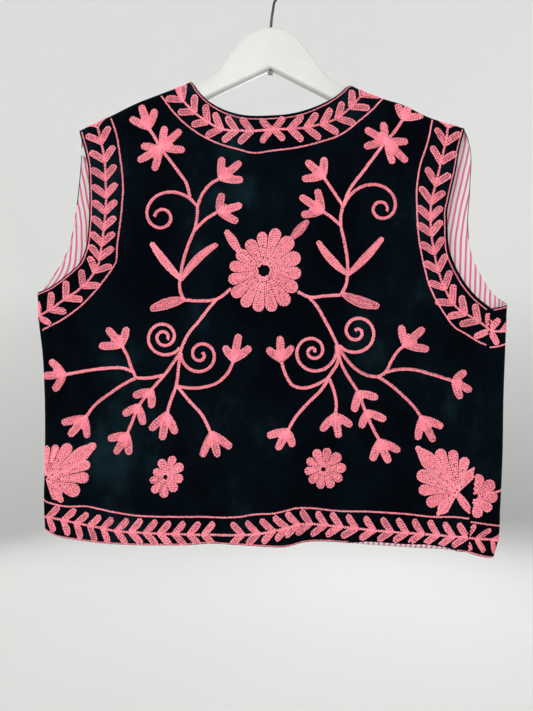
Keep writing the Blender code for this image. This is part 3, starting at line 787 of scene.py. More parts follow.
# Stems on the back, as pixels of the photograph along each
BACK_STEMS = (
    ((231, 289), (217, 299), (200, 301), (184, 300)),
    ((184, 300), (180, 290), (180, 278)),
    ((180, 278), (183, 262), (189, 243), (194, 231), (197, 218), (197.5, 206)),
    ((194, 231), (205, 220), (219, 211)),
    ((197.5, 206), (203, 193), (212, 183), (221, 178)),
    ((190, 197), (185.8, 182), (179.8, 173.6), (171, 161.6), (161, 149)),
    ((161, 149), (155, 138), (149, 128)),
    ((298, 292), (309, 297), (325, 296), (341, 295)),
    ((341, 295), (346, 285), (348, 272)),
    ((348, 272), (347, 257), (344, 240), (341, 226), (341, 215), (343, 206)),
    ((341, 226), (331, 217), (322, 211)),
    ((343, 206), (333, 191), (323, 176)),
    ((343, 206), (350, 189), (362, 173), (374, 157), (386, 141)),
    ((386, 141), (396, 130), (403.5, 118)),
    ((217, 299), (209, 308), (200, 320), (189, 333), (182, 347), (180, 353)),
    ((180, 353), (178.4, 370), (176, 386), (170.6, 401), (167, 414)),
    ((180, 353), (173, 363), (164.4, 375), (152, 389), (139.4, 405), (131.6, 423), (127, 435)),
    ((164.4, 375), (149, 378), (136, 378)),
    ((136, 378), (131.6, 368), (127, 355), (122, 346)),
    ((134, 372), (124, 368.4), (105, 368.4), (85, 371), (65, 374.7)),
    ((136, 378), (124, 384), (108, 395), (95.6, 404.4), (86, 417)),
    ((176, 386), (189.4, 388), (205, 387), (217.5, 382.5), (228.4, 372), (233.5, 361)),
    ((178, 387), (189.4, 401), (202, 415), (211, 433)),
    ((309, 297), (318, 308), (324.7, 320), (331.3, 332.4), (337, 344)),
    ((337, 344), (341, 363), (348, 376.4), (357.8, 392), (365.3, 411), (372.7, 428), (379, 440)),
    ((337, 344), (338, 361), (328, 378)),
    ((328, 378), (318, 384), (303, 388), (293, 385.5), (286.5, 376.4), (281.5, 362)),
    ((328, 380), (321, 390), (306.4, 404.6), (294, 419.5), (288, 430.5)),
    ((329, 378), (334, 391.3), (336.3, 404.6), (335.4, 414.5)),
    ((338, 346), (344.6, 356.5), (354.5, 368), (367.8, 375.6), (378.5, 377)),
    ((378.5, 377), (386, 371.5), (391, 361.5), (397.6, 351.5), (404, 345.7)),
    ((386, 372), (399, 369.4), (414, 369.8), (430.8, 374), (453, 381)),
    ((378.5, 377), (389.3, 384), (402.6, 395.5), (414, 407), (421, 417)),
)
# Spirals: start on a stem, centre, inner radius, turn in degrees, how soon it closes in
BACK_SPIRALS = (
    ((197, 206), (162.4, 217.5), 7.9, -517, 3.8),
    ((343.5, 206), (380.6, 208.8), 6.7, 564, 3.8),
    ((180, 348), (163.8, 337), 4.3, 719, 1.5),
    ((180.8, 352.8), (200.7, 354.8), 2.5, -606, 1.25),
    ((338.7, 345), (356.8, 332), 1.8, -653, 1.25),
    ((336.3, 345), (312.9, 351.2), 1.8, 777, 1.6),
)
# Base of each sprig, then the tips of its leaves
BACK_SPRIGS = (
    ((218, 212), (222, 193), (242, 205), (238, 222)),
    ((220, 179), (222, 157), (241, 162), (243, 180)),
    ((149, 129), (130, 118), (141, 105), (155.5, 109)),
    ((323, 212), (301, 215), (300, 196), (317, 189)),
    ((324, 177), (302, 179), (306, 161), (324, 157)),
    ((402.5, 119), (397, 104), (410, 101), (423, 116)),
    ((122, 346), (99, 346), (107, 328), (127, 327)),
    ((65, 374.5), (44, 376), (50, 360), (54, 391)),
    ((86, 417), (61.5, 423), (69, 436), (87, 438)),
    ((128, 434), (108, 439), (115, 454), (129, 455)),
    ((167, 413), (150, 430), (162, 440), (176, 434)),
    ((233.5, 361), (224, 346), (239, 334), (251, 347)),
    ((211.5, 432), (202, 457), (218, 457), (231.5, 448)),
    ((281, 361), (267, 348), (280, 336), (293, 346)),
    ((335, 414), (321, 431), (339, 438), (352, 426)),
    ((288, 430), (267, 436), (277, 450), (293, 447)),
    ((379, 440), (372, 461), (389, 463), (400, 451)),
    ((404, 345.5), (401, 325), (424, 328), (429, 349.5)),
    ((453, 381), (466, 371), (471.5, 391), (461, 399)),
    ((421, 417), (417.5, 440), (434, 442), (443, 427)),
    ((152, 390), (133, 396), (151.5, 408)),
    ((139, 405), (123, 415), (143.5, 425)),
    ((358, 392), (378, 398), (354, 412)),
    ((366.5, 411), (386, 420), (361, 428)),
)
# Single leaves: base, tip, width in millimetres, bow to the left
BACK_LEAVES = (
    ((181.5, 280), (151, 242.5), 9.2, 1.5), ((181.5, 280), (217.5, 244), 9.2, 4),
    ((185, 299.3), (150, 309.5), 12.6, -1), ((348, 275), (317.5, 241), 9.2, 2.5),
    ((348, 275), (383, 237.5), 9.2, -1), ((342.5, 294), (379.5, 306.5), 12.6, -2),
    ((240, 252.5), (225.5, 230), 10.6, 0), ((291, 239), (308.5, 220.5), 10.6, 0),
)
BACK_LEAF = dict(root=0.4, belly=0.5, point=0.66)
# Flowers of six petals: centre, then the petals' tips
BACK_STARS = (
    ((161, 148.5), (165, 126), (181, 130), (185, 150), (154, 171), (138, 161), (141, 146)),
    ((386, 141), (383, 122), (365, 129), (364, 147), (408, 142), (407, 162), (393, 164)),
)
# Round flowers: radius of the hole in millimetres, lightness, centre, then the petals' tips
ROUND_FLOWERS = (
    (6.7, 0.5, (263.9, 270.6), (262.9, 231.8), (276.4, 228.4), (290.8, 236.9), (300.3, 256),
     (301, 274.3), (297.4, 289.7), (287.1, 305.8), (272.4, 311.7), (257.8, 311.7), (243.1, 306.6),
     (232.8, 297), (228.4, 280.2), (229.6, 266.2), (236.5, 252.3), (249.7, 239.1)),
    (2.8, 0.2, (165.6, 477.2), (163.4, 458.4), (173, 455.9), (182.5, 464), (183.2, 477.9),
     (175.2, 491.8), (162.7, 497.7), (152.4, 492.6), (149.9, 481.6), (153.2, 470.6)),
    (3, 0.2, (323.5, 469.4), (315.4, 449.3), (327.9, 447.9), (339.6, 453), (346.2, 469.1),
     (342.5, 479.4), (331.5, 488.2), (320.5, 488.9), (309.5, 482.3), (304.4, 470.6),
     (306.6, 459.6)),
)
# Half-open flowers: base, then (tip, share of a petal's width that its point keeps)
LEFT_FAN = (
    (46.5, 479.5), ((40, 449), 0.97), ((47.5, 445.5), 0.97), ((56.6, 444.8), 0.97),
    ((69, 443.3), 0.97), ((96, 443.8), 0.55), ((90.2, 463.8), 0.97), ((88.8, 475.6), 0.97),
    ((80.3, 491), 0.97), ((62.8, 502.3), 0.55),
)
RIGHT_FAN = (
    (457.5, 493), ((475.6, 466.5), 0.3), ((464.6, 457), 0.97), ((452.3, 449.8), 0.97),
    ((438.4, 449), 0.97), ((416, 446.4), 0.4), ((416.8, 474), 0.97), ((418.8, 488.4), 0.97),
    ((426, 502.6), 0.97), ((436.6, 515.4), 0.4),
)
RIGHT_FAN_LEAF = ((457.5, 494), (470.9, 513.2))
FAN_LEAF = dict(width=9.0, root=0.6, belly=0.5, point=0.6)

# Bands and the nodes of leaf borders beside them
NECK_BAND = (
    (161, 96), (176, 115), (196, 132), (217, 143), (237, 149), (254, 153), (270, 151), (300, 147),
    (320, 142), (340, 135), (359, 121), (376, 106), (384, 99),
)
NECK_NODES_LEFT = (
    (272.4, 129.7), (252.9, 131), (237.5, 130.7), (222.2, 129.3), (208.5, 122.5), (194.9, 112.9),
    (182.7, 100.6),
)
NECK_NODES_RIGHT = (
    (272.4, 129.7), (288.8, 128.9), (304.9, 127.7), (321.1, 124), (336.5, 118.6), (350.4, 107.4),
    (361.4, 95.6),
)
ARM_BAND_LEFT = (
    (111, 118), (116, 133), (120, 156), (123, 186), (121, 216), (118, 239), (115, 264),
    (101, 284), (85, 302), (63, 319), (43, 330),
)
ARM_NODES_LEFT = (
    (36, 320.5), (49, 310.2), (64.8, 299), (82, 287), (94.5, 272.3), (99.8, 259), (101.9, 244.8),
    (103.9, 229), (105.5, 213.2), (106.3, 197), (105.5, 179.5), (104.8, 161.5), (101.5, 143.2),
    (97.5, 126),
)
ARM_BAND_RIGHT = (
    (432, 120), (428, 141), (420, 166), (417, 186), (417, 211), (419, 239), (424, 266),
    (432, 292), (442, 310), (457, 329), (466, 334), (479, 342), (489, 346),
)
ARM_NODES_RIGHT = (
    (489.8, 330.3), (479.3, 321.6), (466, 314), (453.3, 304), (445, 289.3), (438.4, 271.7),
    (434.3, 253.5), (431.4, 235.5), (430.4, 220.1), (431.1, 203.2), (435.5, 184.9),
    (440.6, 163.6), (445, 144.5), (448, 127),
)
HEM_BAND = (
    (44, 499), (50, 503), (68, 506.6), (84, 506.2), (113, 512), (146, 516.3), (190, 516.9),
    (216.8, 517.3), (239, 516.9), (256, 514.2), (275.7, 513.3), (286.4, 510.6), (295.4, 508.4),
    (306, 508), (329, 510.2), (366, 511.5), (405, 514), (437, 517), (455, 517), (471, 519),
)
HEM_NODES_LEFT = (
    (36, 514.5), (47.5, 517.2), (62.5, 519.8), (75.5, 523), (89, 525.6), (102, 527.9),
    (115.7, 531), (129.7, 532), (144.5, 532.8), (158.5, 533.6), (173.2, 534), (188, 534.5),
    (202.7, 534.8), (222, 535.2),
)
HEM_NODES_RIGHT = (
    (474, 538.8), (467.8, 537.3), (454, 536.8), (438.6, 535.2), (423.2, 534.1), (407.8, 533),
    (392.4, 532), (374.8, 530.5), (357.2, 528.6), (341.8, 526.8), (326.6, 525.4), (311.4, 524),
    (298.9, 524.7), (287.8, 527.6), (274.4, 530.9), (259.2, 533.8), (243.6, 534.9), (222, 535.2),
)
# Garlands: nodes, a leaf's length, its lean on the stem's right and left, its width, and
# which nodes bear leaves
BACK_GARLANDS = (
    (NECK_NODES_LEFT, 20.6, (50, 40), 8.7, (1, None)),
    (NECK_NODES_RIGHT, 21.6, (46, 42), 8.7, (1, None)),
    (NECK_NODES_LEFT[:2], 19.0, (46, 46), 8.0, (0, 1)),
    (NECK_NODES_RIGHT[:2], 19.0, (46, 46), 8.0, (0, 1)),
    (ARM_NODES_LEFT, 20.3, (38, 52), 8.4, (1, None)),
    (ARM_NODES_RIGHT, 21.6, (42, 44), 8.6, (1, None)),
    (HEM_NODES_LEFT[:6], 18.6, (60, 50), 7.8, (1, None)),
    (HEM_NODES_LEFT[5:], 19.4, (44, 50), 7.8, (1, -1)),
    (HEM_NODES_RIGHT, 19.8, (50, 36), 7.8, (1, -1)),
)
# Single leaves at the borders' ends
NECK_TOP_TIP = (176, 83)
NECK_TOP_LEAF = dict(width=7.0, root=0.5, point=0.9)
LEFT_UNDERARM_BASE = (39.8, 317.4)
LEFT_UNDERARM_TIPS = ((51, 323.8), (38.8, 301))
LEFT_UNDERARM_LEAF = dict(width=7.6, root=0.6)
RIGHT_UNDERARM_TIPS = ((474, 337.2), (487.6, 313), (499.6, 318.6), (498, 345))
RIGHT_UNDERARM_LEAF = dict(width=7.8, root=0.5, point=0.9, loose=0.1)
# What shows of the front beyond the back's right seam
STRIP_BANDS = (
    ((471, 522.1), (485, 524.1), (499.8, 526.2), (506, 527)),
    ((480.8, 344.7), (488.7, 347.1), (496.6, 346.6), (504.5, 344.3), (510, 341.5)),
)
STRIP_STEMS = (
    ((466, 537.4), (476, 538.8), (492.1, 539.6), (500, 541)),
    ((489.8, 330.3), (494, 331.2), (500.6, 331.3), (508, 331)),
    ((486, 493.4), (494, 492.3), (501, 489.6)),
)
STRIP_LEAVES = (
    ((476, 538.8), (491.2, 529)), ((476, 538.8), (484.6, 552.2)),
    ((467, 536.5), (475.6, 524.6)), ((466, 539.5), (471, 550.6)),
    ((492.1, 539.8), (500.4, 533.4)), ((492.1, 539.8), (493.8, 553.4)),
    ((500.5, 331.2), (506.8, 319.5)),
)
STRIP_LEAF = dict(width=6.8, root=0.6, point=0.9, loose=0.1)
STRIP_FLOWER = (
    (475.8, 496.3), (478.4, 473.9), (494.6, 482.4), (497.4, 497.8), (491.2, 510.4),
    (478.4, 517.9), (463, 513), (455, 497), (462, 480),
)
STRIP_FLOWER_HOLE = 3.0
STRIP_FLOWER_TONE = 0.1

# How high the back's velvet and its lining end over the hem line, where the lining shows below
VELVET_HEM_LIFT = (
    (348, 0), (358, 0.6), (366, 2.1), (402, 2.2), (425, 3.5), (444, 2.3), (457, 0),
)
LINING_HEM_LIFT = ((348, 0), (358, -0.8), (366, -2), (417, -1.6), (432, -1.2), (457, 0))
HEM_PIXEL_Y = 545
# Drift of the fronts' stripes along the cloth as (w, millimetres)
STRIPE_DRIFT = {
    LEFT: ((-372, 26), (-345, 6), (-320, 0), (-290, 0), (-250, 6), (-200, 16)),
    RIGHT: ((-372, 26), (-310, 24), (-250, 14), (-190, 0)),
}
# Heights between which the lining is rolled over the edge of a front's armhole
ROLL = {LEFT: (-369.0, -268.0), RIGHT: (-385.0, -303.0)}

# The fronts, not in the photograph: places as (distance from the middle, w), made on both sides
FRONT_STEMS = (
    ((150, -414), (153, -392), (150, -372), (146, -350)),
    ((146, -350), (149, -322), (148, -296), (145, -272)),
    ((145, -272), (150, -254), (149, -238), (146, -222)),
    ((149, -330), (160, -312), (172, -304)),
    ((146, -222), (145, -208), (148, -196)),
    ((124, -436), (104, -428), (88, -414), (78, -396)),
    ((176, -436), (198, -430), (214, -418), (224, -402)),
    ((150, -498), (148, -520), (139, -540), (124, -560), (112, -578)),
    ((149, -512), (156, -534), (160, -556), (161, -580)),
    ((153, -524), (172, -540), (192, -548), (210, -560)),
)
FRONT_SPIRALS = (
    ((148, -318), (123.8, -330.7), 5.4, 539, 1.5),
    ((148, -522), (113.8, -535.6), 7.2, 494, 2.7),
    ((152, -518), (195.3, -526.4), 8.1, -422, 5.4),
)
FRONT_SPRIGS = (
    ((148, -197), (132, -180), (149, -172), (165, -183)),
    ((172, -304), (170, -282), (190, -290), (196, -306)),
    ((78, -397), (58, -389), (74, -372), (94, -376)),
    ((224, -403), (208, -385), (229, -378), (243, -392)),
    ((112, -577), (91, -581), (97, -598), (114, -602)),
    ((161, -579), (146, -596), (162, -605), (177, -595)),
    ((210, -559), (206, -583), (226, -581), (233, -563)),
)
FRONT_LEAVES = (
    ((146, -352), (116, -316), 10.4, -2), ((147, -352), (186, -334), 10.4, 2),
    ((126, -494), (104, -478), 11, 0), ((176, -494), (198, -480), 11, 0),
)
FRONT_LEAF = dict(root=0.62, belly=0.45, point=0.62)
FRONT_STAR = (146, -246)
FRONT_STAR_REACH = 23.0
FRONT_STAR_TURNS = np.radians(30 + 60 * np.arange(6))
FRONT_FLOWER = (150, -456)
FRONT_FAN = (236, -602)
FRONT_BAND = 38.0
FRONT_HEM_BAND = 34.0
# Borders of a front: distance from its edge, first node's place, pitch, a leaf's length
FRONT_ARM_BORDER = (20.0, 6.0, 19.6, 20.3)
FRONT_NECK_BORDER = (20.5, 8.0, 19.6, 20.3)
FRONT_HEM_BORDER = (17.5, 8.0, 17.6, 19.0)
# How far the neck's border goes below the hem's band, and the hem's past where they meet
NECK_BORDER_PAST = 14.0
HEM_BORDER_PAST = 4.0
# q beyond which the strip's own embroidery takes over on the right front
STRIP_ARM_Q = 275.0
STRIP_HEM_Q = 261.0

# Fractions along an edge at which the lines along it have their places
WHOLE_EDGE = np.linspace(0, 1, 400)
ARMHOLE_PART = np.linspace(0.02, UNDERARM_V - 0.004, 300)
CENTRE_PART = np.linspace(0.004, 0.996, 500)
HEM_LINE = np.linspace(0, 1, 300)


def spiral(start, centre, inner, turn, closing):
    """Places along a spiral from its start in to an inner radius round its centre."""
    away = np.subtract(start, centre)
    t = np.linspace(0, 1, SPIRAL_PLACES)
    radius = inner + (np.hypot(*away) - inner) * (1 - t) ** closing
    return centre + polar(radius, math.atan2(away[1], away[0]) + math.radians(turn) * t)


def back_vines():
    """Stems, spirals, sprigs, single leaves and six-petalled flowers of the back."""
    work = Embroidery("embroidery_back_vines", BACK)
    for points in BACK_STEMS:
        work.stem(on_back(points))
    for row in BACK_SPIRALS:
        work.stem(on_back(spiral(*row)))
    for places in BACK_SPRIGS:
        work.sprig(*on_back(places))
    for base, tip, width, bow in BACK_LEAVES:
        work.leaf(base, tip, width=width, bend=bow, **BACK_LEAF)
    for places in BACK_STARS:
        work.star(*on_back(places))
    return work


def back_flowers():
    """The back's three round flowers and two half-open ones."""
    work = Embroidery("embroidery_back_flowers", BACK)
    for hole, tone, *places in ROUND_FLOWERS:
        centre, *tips = on_back(places)
        work.flower(centre, tips, hole, tone)
    for base, *petals in (LEFT_FAN, RIGHT_FAN):
        tips, points = zip(*petals)
        work.fan(on_back(base)[0], on_back(tips), points)
    work.leaf(*RIGHT_FAN_LEAF, **FAN_LEAF)
    return work


def back_borders():
    """Edge rows, bands and leaf borders of the back."""
    work = Embroidery("embroidery_back_borders", BACK)
    insets = np.interp(WHOLE_EDGE, *zip(*NECK_INSETS))
    work.edge_row(beside(back_neckline(WHOLE_EDGE), -insets))
    work.edge_row(beside(side_edge(BACK, LEFT, ARMHOLE_PART), EDGE_INSET))
    insets = np.interp(ARMHOLE_PART, *zip(*RIGHT_ARM_INSETS))
    work.edge_row(beside(side_edge(BACK, RIGHT, ARMHOLE_PART), -insets))
    work.edge_row(beside(hem_edge(BACK, BOTH, WHOLE_EDGE), HEM_INSET))
    for band in (NECK_BAND, ARM_BAND_LEFT, ARM_BAND_RIGHT, HEM_BAND):
        work.row(curve_through(on_back(band)))
    for nodes, *shape in BACK_GARLANDS:
        work.garland(on_back(nodes), *shape)
    work.leaf(NECK_NODES_LEFT[-1], NECK_TOP_TIP, **NECK_TOP_LEAF)
    for tip in LEFT_UNDERARM_TIPS:
        work.leaf(LEFT_UNDERARM_BASE, tip, **LEFT_UNDERARM_LEAF)
    for tip in RIGHT_UNDERARM_TIPS:
        work.leaf(ARM_NODES_RIGHT[0], tip, **RIGHT_UNDERARM_LEAF)
    return work


def strip_rows():
    """Rows on the front's strip that shows behind the back's right seam, as places on the back."""
    work = Embroidery("strip", FRONT)
    for points in STRIP_BANDS:
        work.row(curve_through(on_back(points)))
    for points in STRIP_STEMS:
        work.row(curve_through(on_back(points)), THIN_STEM)
    for base, tip in STRIP_LEAVES:
        work.leaf(base, tip, **STRIP_LEAF)
    for tip in RIGHT_UNDERARM_TIPS:
        work.leaf(ARM_NODES_RIGHT[0], tip, **RIGHT_UNDERARM_LEAF)
    centre, *tips = on_back(STRIP_FLOWER)
    work.flower(centre, tips, STRIP_FLOWER_HOLE, STRIP_FLOWER_TONE)
    return work.rows


def nodes_along(curve, first, pitch):
    """Places along a curve, from a first distance on, as far apart as a pitch."""
    return at_distances(curve, np.append(0.0, np.arange(first, distances(curve)[-1], pitch)))


def inset(edge, toward, distance):
    """An edge moved over by a distance, on the side that a direction points to."""
    run = np.gradient(edge, axis=0)[len(edge) // 2]
    return beside(edge, math.copysign(distance, np.dot(toward, (-run[1], run[0]))))


def front_design(hand):
    """Borders, vine and flowers of one front."""
    work = Embroidery("embroidery_front_" + ("left" if hand == LEFT else "right"), FRONT)
    mirror = np.array((hand, 1))
    arm = side_edge(FRONT, hand, ARMHOLE_PART), (-hand, 0)
    neck = centre_edge(hand, CENTRE_PART), (hand, 0)
    foot = hem_edge(FRONT, hand, WHOLE_EDGE[::-hand]), (0, 1)
    for edge, distance in ((arm, EDGE_INSET), (neck, EDGE_INSET), (foot, HEM_INSET)):
        work.edge_row(inset(*edge, distance))
    strip = (STRIP_ARM_Q, STRIP_HEM_Q)
    arm_end, hem_end = strip if hand == RIGHT else (math.inf, math.inf)

    def between(line, start, end):
        away = hand * line[:, 0]
        return line[(away > start) & (away < end)]

    def border(line, first, pitch, leaf):
        work.garland(nodes_along(line, first, pitch), leaf)

    work.row(between(inset(*arm, FRONT_BAND), 0, arm_end))
    inner, upper = inset(*neck, FRONT_BAND), inset(*foot, FRONT_HEM_BAND)
    floor = np.interp(inner[:, 0], *upper[np.argsort(upper[:, 0])].T)
    inner = inner[inner[:, 1] > floor]
    meet = hand * inner[-1, 0]
    work.row(inner)
    work.row(between(upper, meet, hem_end))
    distance, *shape = FRONT_ARM_BORDER
    border(between(inset(*arm, distance)[::-1], 0, arm_end), *shape)
    distance, *shape = FRONT_NECK_BORDER
    trunk = inset(*neck, distance)
    border(trunk[trunk[:, 1] > floor.min() - NECK_BORDER_PAST], *shape)
    distance, *shape = FRONT_HEM_BORDER
    border(between(inset(*foot, distance), meet - HEM_BORDER_PAST, hem_end), *shape)
    for points in FRONT_STEMS:
        work.stem(points * mirror)
    for row in FRONT_SPIRALS:
        work.stem(spiral(*row) * mirror)
    for places in FRONT_SPRIGS:
        work.sprig(*(places * mirror))
    for base, tip, width, bow in FRONT_LEAVES:
        work.petal(base * mirror, tip * mirror, width, bend=hand * bow, **FRONT_LEAF)
    centre = FRONT_STAR * mirror
    work.star(centre, *(centre + polar(FRONT_STAR_REACH, FRONT_STAR_TURNS)))
    hole, tone, centre, *tips = ROUND_FLOWERS[0]
    spot = FRONT_FLOWER * mirror
    work.flower(spot, spot + np.subtract(tips, centre) * (hand * PIXEL, -PIXEL), hole, tone)
    base, *petals = LEFT_FAN
    tips, points = zip(*petals)
    spot = FRONT_FAN * mirror
    work.fan(spot, spot + np.subtract(tips, base) * (-hand * PIXEL, -PIXEL), points)
    if hand == RIGHT:
        for points, width, tone in strip_rows():
            work.row(np.column_stack([to_front(*points.T), points[:, 1]]), width, tone)
    return work


def lift_at(q, table):
    """How much higher than the hem line a cloth ends, from (pixel x, millimetres)."""
    pixels, rises = zip(*table)
    places = on_back([(x, HEM_PIXEL_Y) for x in pixels])[:, 0]
    return np.interp(q, places, rises, 0.0, 0.0)


def within_back(q, w):
    """Which places are on the back, clear of its seams and its hem."""
    left = (w >= UNDERARM_W[LEFT]) | (q > seam_q(LEFT, w) + SEAM_CLEAR)
    right = (w >= UNDERARM_W[RIGHT]) | (q < seam_q(RIGHT, w) - SEAM_CLEAR)
    hem = hem_edge(BACK, BOTH, HEM_LINE)
    hem = hem[np.argsort(hem[:, 0])]
    rise = lift_at(q, VELVET_HEM_LIFT)
    rise = np.where(rise > 0, rise + LIFTED_CLEAR, HEM_CLEAR)
    return left & right & (w > np.interp(q, *hem.T) + rise) & (w < seam_top(q) - SEAM_CLEAR)


def within_front(q, w):
    """Which places are on the fronts, clear of their seams."""
    hand = np.where(q < 0, LEFT, RIGHT)
    above = w >= np.where(q < 0, UNDERARM_W[LEFT], UNDERARM_W[RIGHT])
    limit = np.abs(to_front(seam_q(hand, w), w)) - SEAM_CLEAR
    return (above | (np.abs(q) < limit)) & (w < seam_top(q) - SEAM_CLEAR)


# ---------------------------------------------------------------- cloth

HEM_LIFT_REACH = 16.0
RIM_ROUNDING = 0.32
INSET_LIMIT = 0.6
LINING_SHOWS = 0.8
LIP_RADIUS = 0.8
LIP_SIDES = 8
ARMHOLE_FROM = 180.0


def ring_of(rows, columns):
    """Rows and columns of a grid's outermost points, in order round it."""
    index = np.arange(rows * columns).reshape(rows, columns)
    ring = (index[0], index[1:, -1], index[-1, -2::-1], index[-2:0:-1, 0])
    return np.divmod(np.concatenate(ring), columns)


def drawn_in(grid, distance):
    """A grid of points with its outermost rows and columns moved in along it."""
    grid = grid.copy()
    for edge, beside_it in ((0, 1), (-1, -2)):
        for lines in (grid, grid.swapaxes(0, 1)):
            step = lines[beside_it] - lines[edge]
            length = np.linalg.norm(step, axis=-1, keepdims=True)
            lines[edge] += step * np.minimum(distance / length, INSET_LIMIT)
    return grid


def hem_lift(q, w, table):
    """How much higher a cloth's places are than without its lifted hem."""
    bottom = np.argmin(w.mean(axis=1))
    return lift_at(q[bottom], table) * np.clip(1 - (w - w[bottom]) / HEM_LIFT_REACH, 0, 1)


def lip_tube(edge, away, through):
    """Points and faces of a rolled lip round a closed edge."""
    turns = 2 * math.pi * np.arange(LIP_SIDES) / LIP_SIDES
    points = (
        edge[:, None] + LIP_RADIUS * np.cos(turns)[None, :, None] * away[:, None]
        + LIP_RADIUS * np.sin(turns)[None, :, None] * through[:, None]
    )
    index = np.arange(len(edge) * LIP_SIDES).reshape(len(edge), LIP_SIDES)
    on, over = np.roll(index, -1, axis=0), np.roll(index, -1, axis=1)
    faces = np.stack([index, on, np.roll(on, -1, axis=1), over], axis=-1)
    return points.reshape(-1, 3), faces.reshape(-1, 4)


def wall_faces(rows, columns, r, c):
    """Faces of a wall's outer side, inner side and rim, from (outer, inner, rim) points."""
    count = rows * columns
    index = np.arange(count).reshape(rows, columns)
    cells = (index[:-1, :-1], index[:-1, 1:], index[1:, 1:], index[1:, :-1])
    front = np.stack(cells, axis=-1).reshape(-1, 4)
    outer = index[r, c]
    rim = np.arange(len(r)) + 2 * count
    inner = outer + count
    bands = [
        np.stack([np.roll(a, -1), a, b, np.roll(b, -1)], axis=-1)
        for a, b in ((outer, rim), (rim, inner))
    ]
    return [front, front[:, ::-1] + count, *bands]


def cloth_wall(name, side, hand, depths, outside, inside=None, edge_inset=0.0, lifts=None,
               lip=False, drift=((0, 0), (1, 0)), roll=None):
    """A panel's cloth wall between two depths, with a rounded rim; inside is its inner face's
    look, lifts are tables for how high its outer and inner hems are, lip adds a rolled edge,
    drift moves the pattern across, and roll is where the lining comes round an armhole's edge."""
    grid = patch(side, hand, stops(COLUMNS[side, hand]), stops(ROWS))
    q, w = grid[..., 0], grid[..., 1]
    walls = []
    for depth, table in zip(depths, lifts or (None, None)):
        height = w + hem_lift(q, w, table) if table else w
        walls.append(drawn_in(cloth_inside(side, q, height, depth), edge_inset))
    outer, inner = walls
    rows, columns = q.shape
    r, c = ring_of(rows, columns)
    away = unit(outer[r, c] - outer[np.clip(r, 1, rows - 2), np.clip(c, 1, columns - 2)])
    rim = (outer[r, c] + inner[r, c]) / 2 + RIM_ROUNDING * (depths[1] - depths[0]) * away
    points = np.concatenate([outer.reshape(-1, 3), inner.reshape(-1, 3), rim])
    parts = wall_faces(rows, columns, r, c)
    faces = np.concatenate(parts)
    if side == FRONT:
        faces = faces[:, ::-1]
    across = q + smooth_table(w, *zip(*drift))
    places = np.stack([across * MM, w * MM, np.zeros(q.shape)], axis=-1)
    edges = places[r, c]
    places = np.concatenate([places.reshape(-1, 3)] * 2 + [edges])
    if lip:
        middle = cloth_inside(side, q, w, CLOTH / 2)[r, c]
        tube, tube_faces = lip_tube(middle, away, unit(inner[r, c] - outer[r, c]))
        faces = np.concatenate([faces, tube_faces + len(points)])
        points = np.concatenate([points, tube])
        places = np.concatenate([places, np.repeat(edges, LIP_SIDES, axis=0)])
    piece = write_mesh(name, points, [faces], [("cloth", places)])
    piece.data.materials.append(outside)
    if inside:
        piece.data.materials.append(inside)
        within = np.zeros((rows - 1, columns - 1), int)
        if roll:
            rolled = (np.abs(q) > ARMHOLE_FROM) & (w > roll[0]) & (w < roll[1])
            within[:] = rolled[:-1, :-1]
            edge_looks = [np.tile(rolled[r, c], 2), np.repeat(rolled[r, c], LIP_SIDES)]
        else:
            within[1:-1, 1:-1] = 1
            shown = hem_lift(q, w, lifts[0]) - hem_lift(q, w, lifts[1]) > LINING_SHOWS
            shown = shown[r, c]
            edge_looks = [np.tile(shown | np.roll(shown, -1), 2)]
        looks = np.concatenate([np.zeros(len(parts[0])), within.ravel(), *edge_looks])
        piece.data.polygons.foreach_set("material_index", looks.astype(np.int32))
    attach(piece, "root")
    return piece


# ---------------------------------------------------------------- hanger

CORNER_PLACES = 10
SMALLEST_END = 0.3
# Cells from the middle to where the arms start, and from there to their ends; steps in degrees
BOARD_CELLS = 45
ARM_CELLS = 23
END_STEP = 8
# The hook's stem as (x, z) above the crown, then the turns of its bend
HOOK_STEM = ((0.0, 2.0), (0.5, 10.0), (1.9, 20.0), (4.2, 31.0), (9.0, 36.4))
HOOK_TURNS = np.radians(np.arange(-12, 205, 4))
# Place on the bend up to which the stem's curve goes
BEND_JOINT = 3
BEND_PLACES = 40
WIRE_SIDES = 6
TIP_RADII = (0.92, 0.45)
NUT_CHAMFER = 0.35


def board_section(x):
    """Ring of (x, y, z) round the board at a distance from its middle."""
    reach = abs(x)
    past = max(0.0, reach - ARM_START_X)
    fall = past * math.tan(ARM_SLOPE) + ARM_DROOP * (past / (ARM_END_X - ARM_START_X)) ** 2
    distance, upper, lower = np.array(BOARD_OUTLINE).T
    top = float(smooth_table(reach, distance, upper)) + fall
    bottom = float(smooth_table(reach, distance, lower)) + fall
    end = max(0.0, reach - (ARM_END_X - ARM_END_ROUND)) / ARM_END_ROUND
    size = max(math.sqrt(max(0.0, 1 - end * end)), SMALLEST_END)
    middle = (top + bottom) / 2
    top = middle + (top - middle) * size
    bottom = middle + (bottom - middle) * size
    half = BOARD_THICKNESS / 2 * size
    rounding = min(half / math.cos(ARM_SLOPE), (bottom - top) / 2)
    edge = BOARD_EDGE * size
    corners = (
        (0, 180, half, rounding, 0.0, -top - rounding),
        (180, 270, edge, edge, edge - half, edge - bottom),
        (270, 360, edge, edge, half - edge, edge - bottom),
    )
    ring = []
    for start, stop, wide, high, y, z in corners:
        for turn in np.radians(np.linspace(start, stop, CORNER_PLACES)):
            ring.append((x, y + wide * math.cos(turn), z + high * math.sin(turn)))
    return ring


def ring_faces(rings, sides):
    """Faces between rings of points, each ring joined to the next."""
    a = np.arange((rings - 1) * sides).reshape(-1, sides)
    b = np.roll(a, -1, axis=1)
    return np.stack([a, b, b + sides, a + sides], axis=-1).reshape(-1, 4)


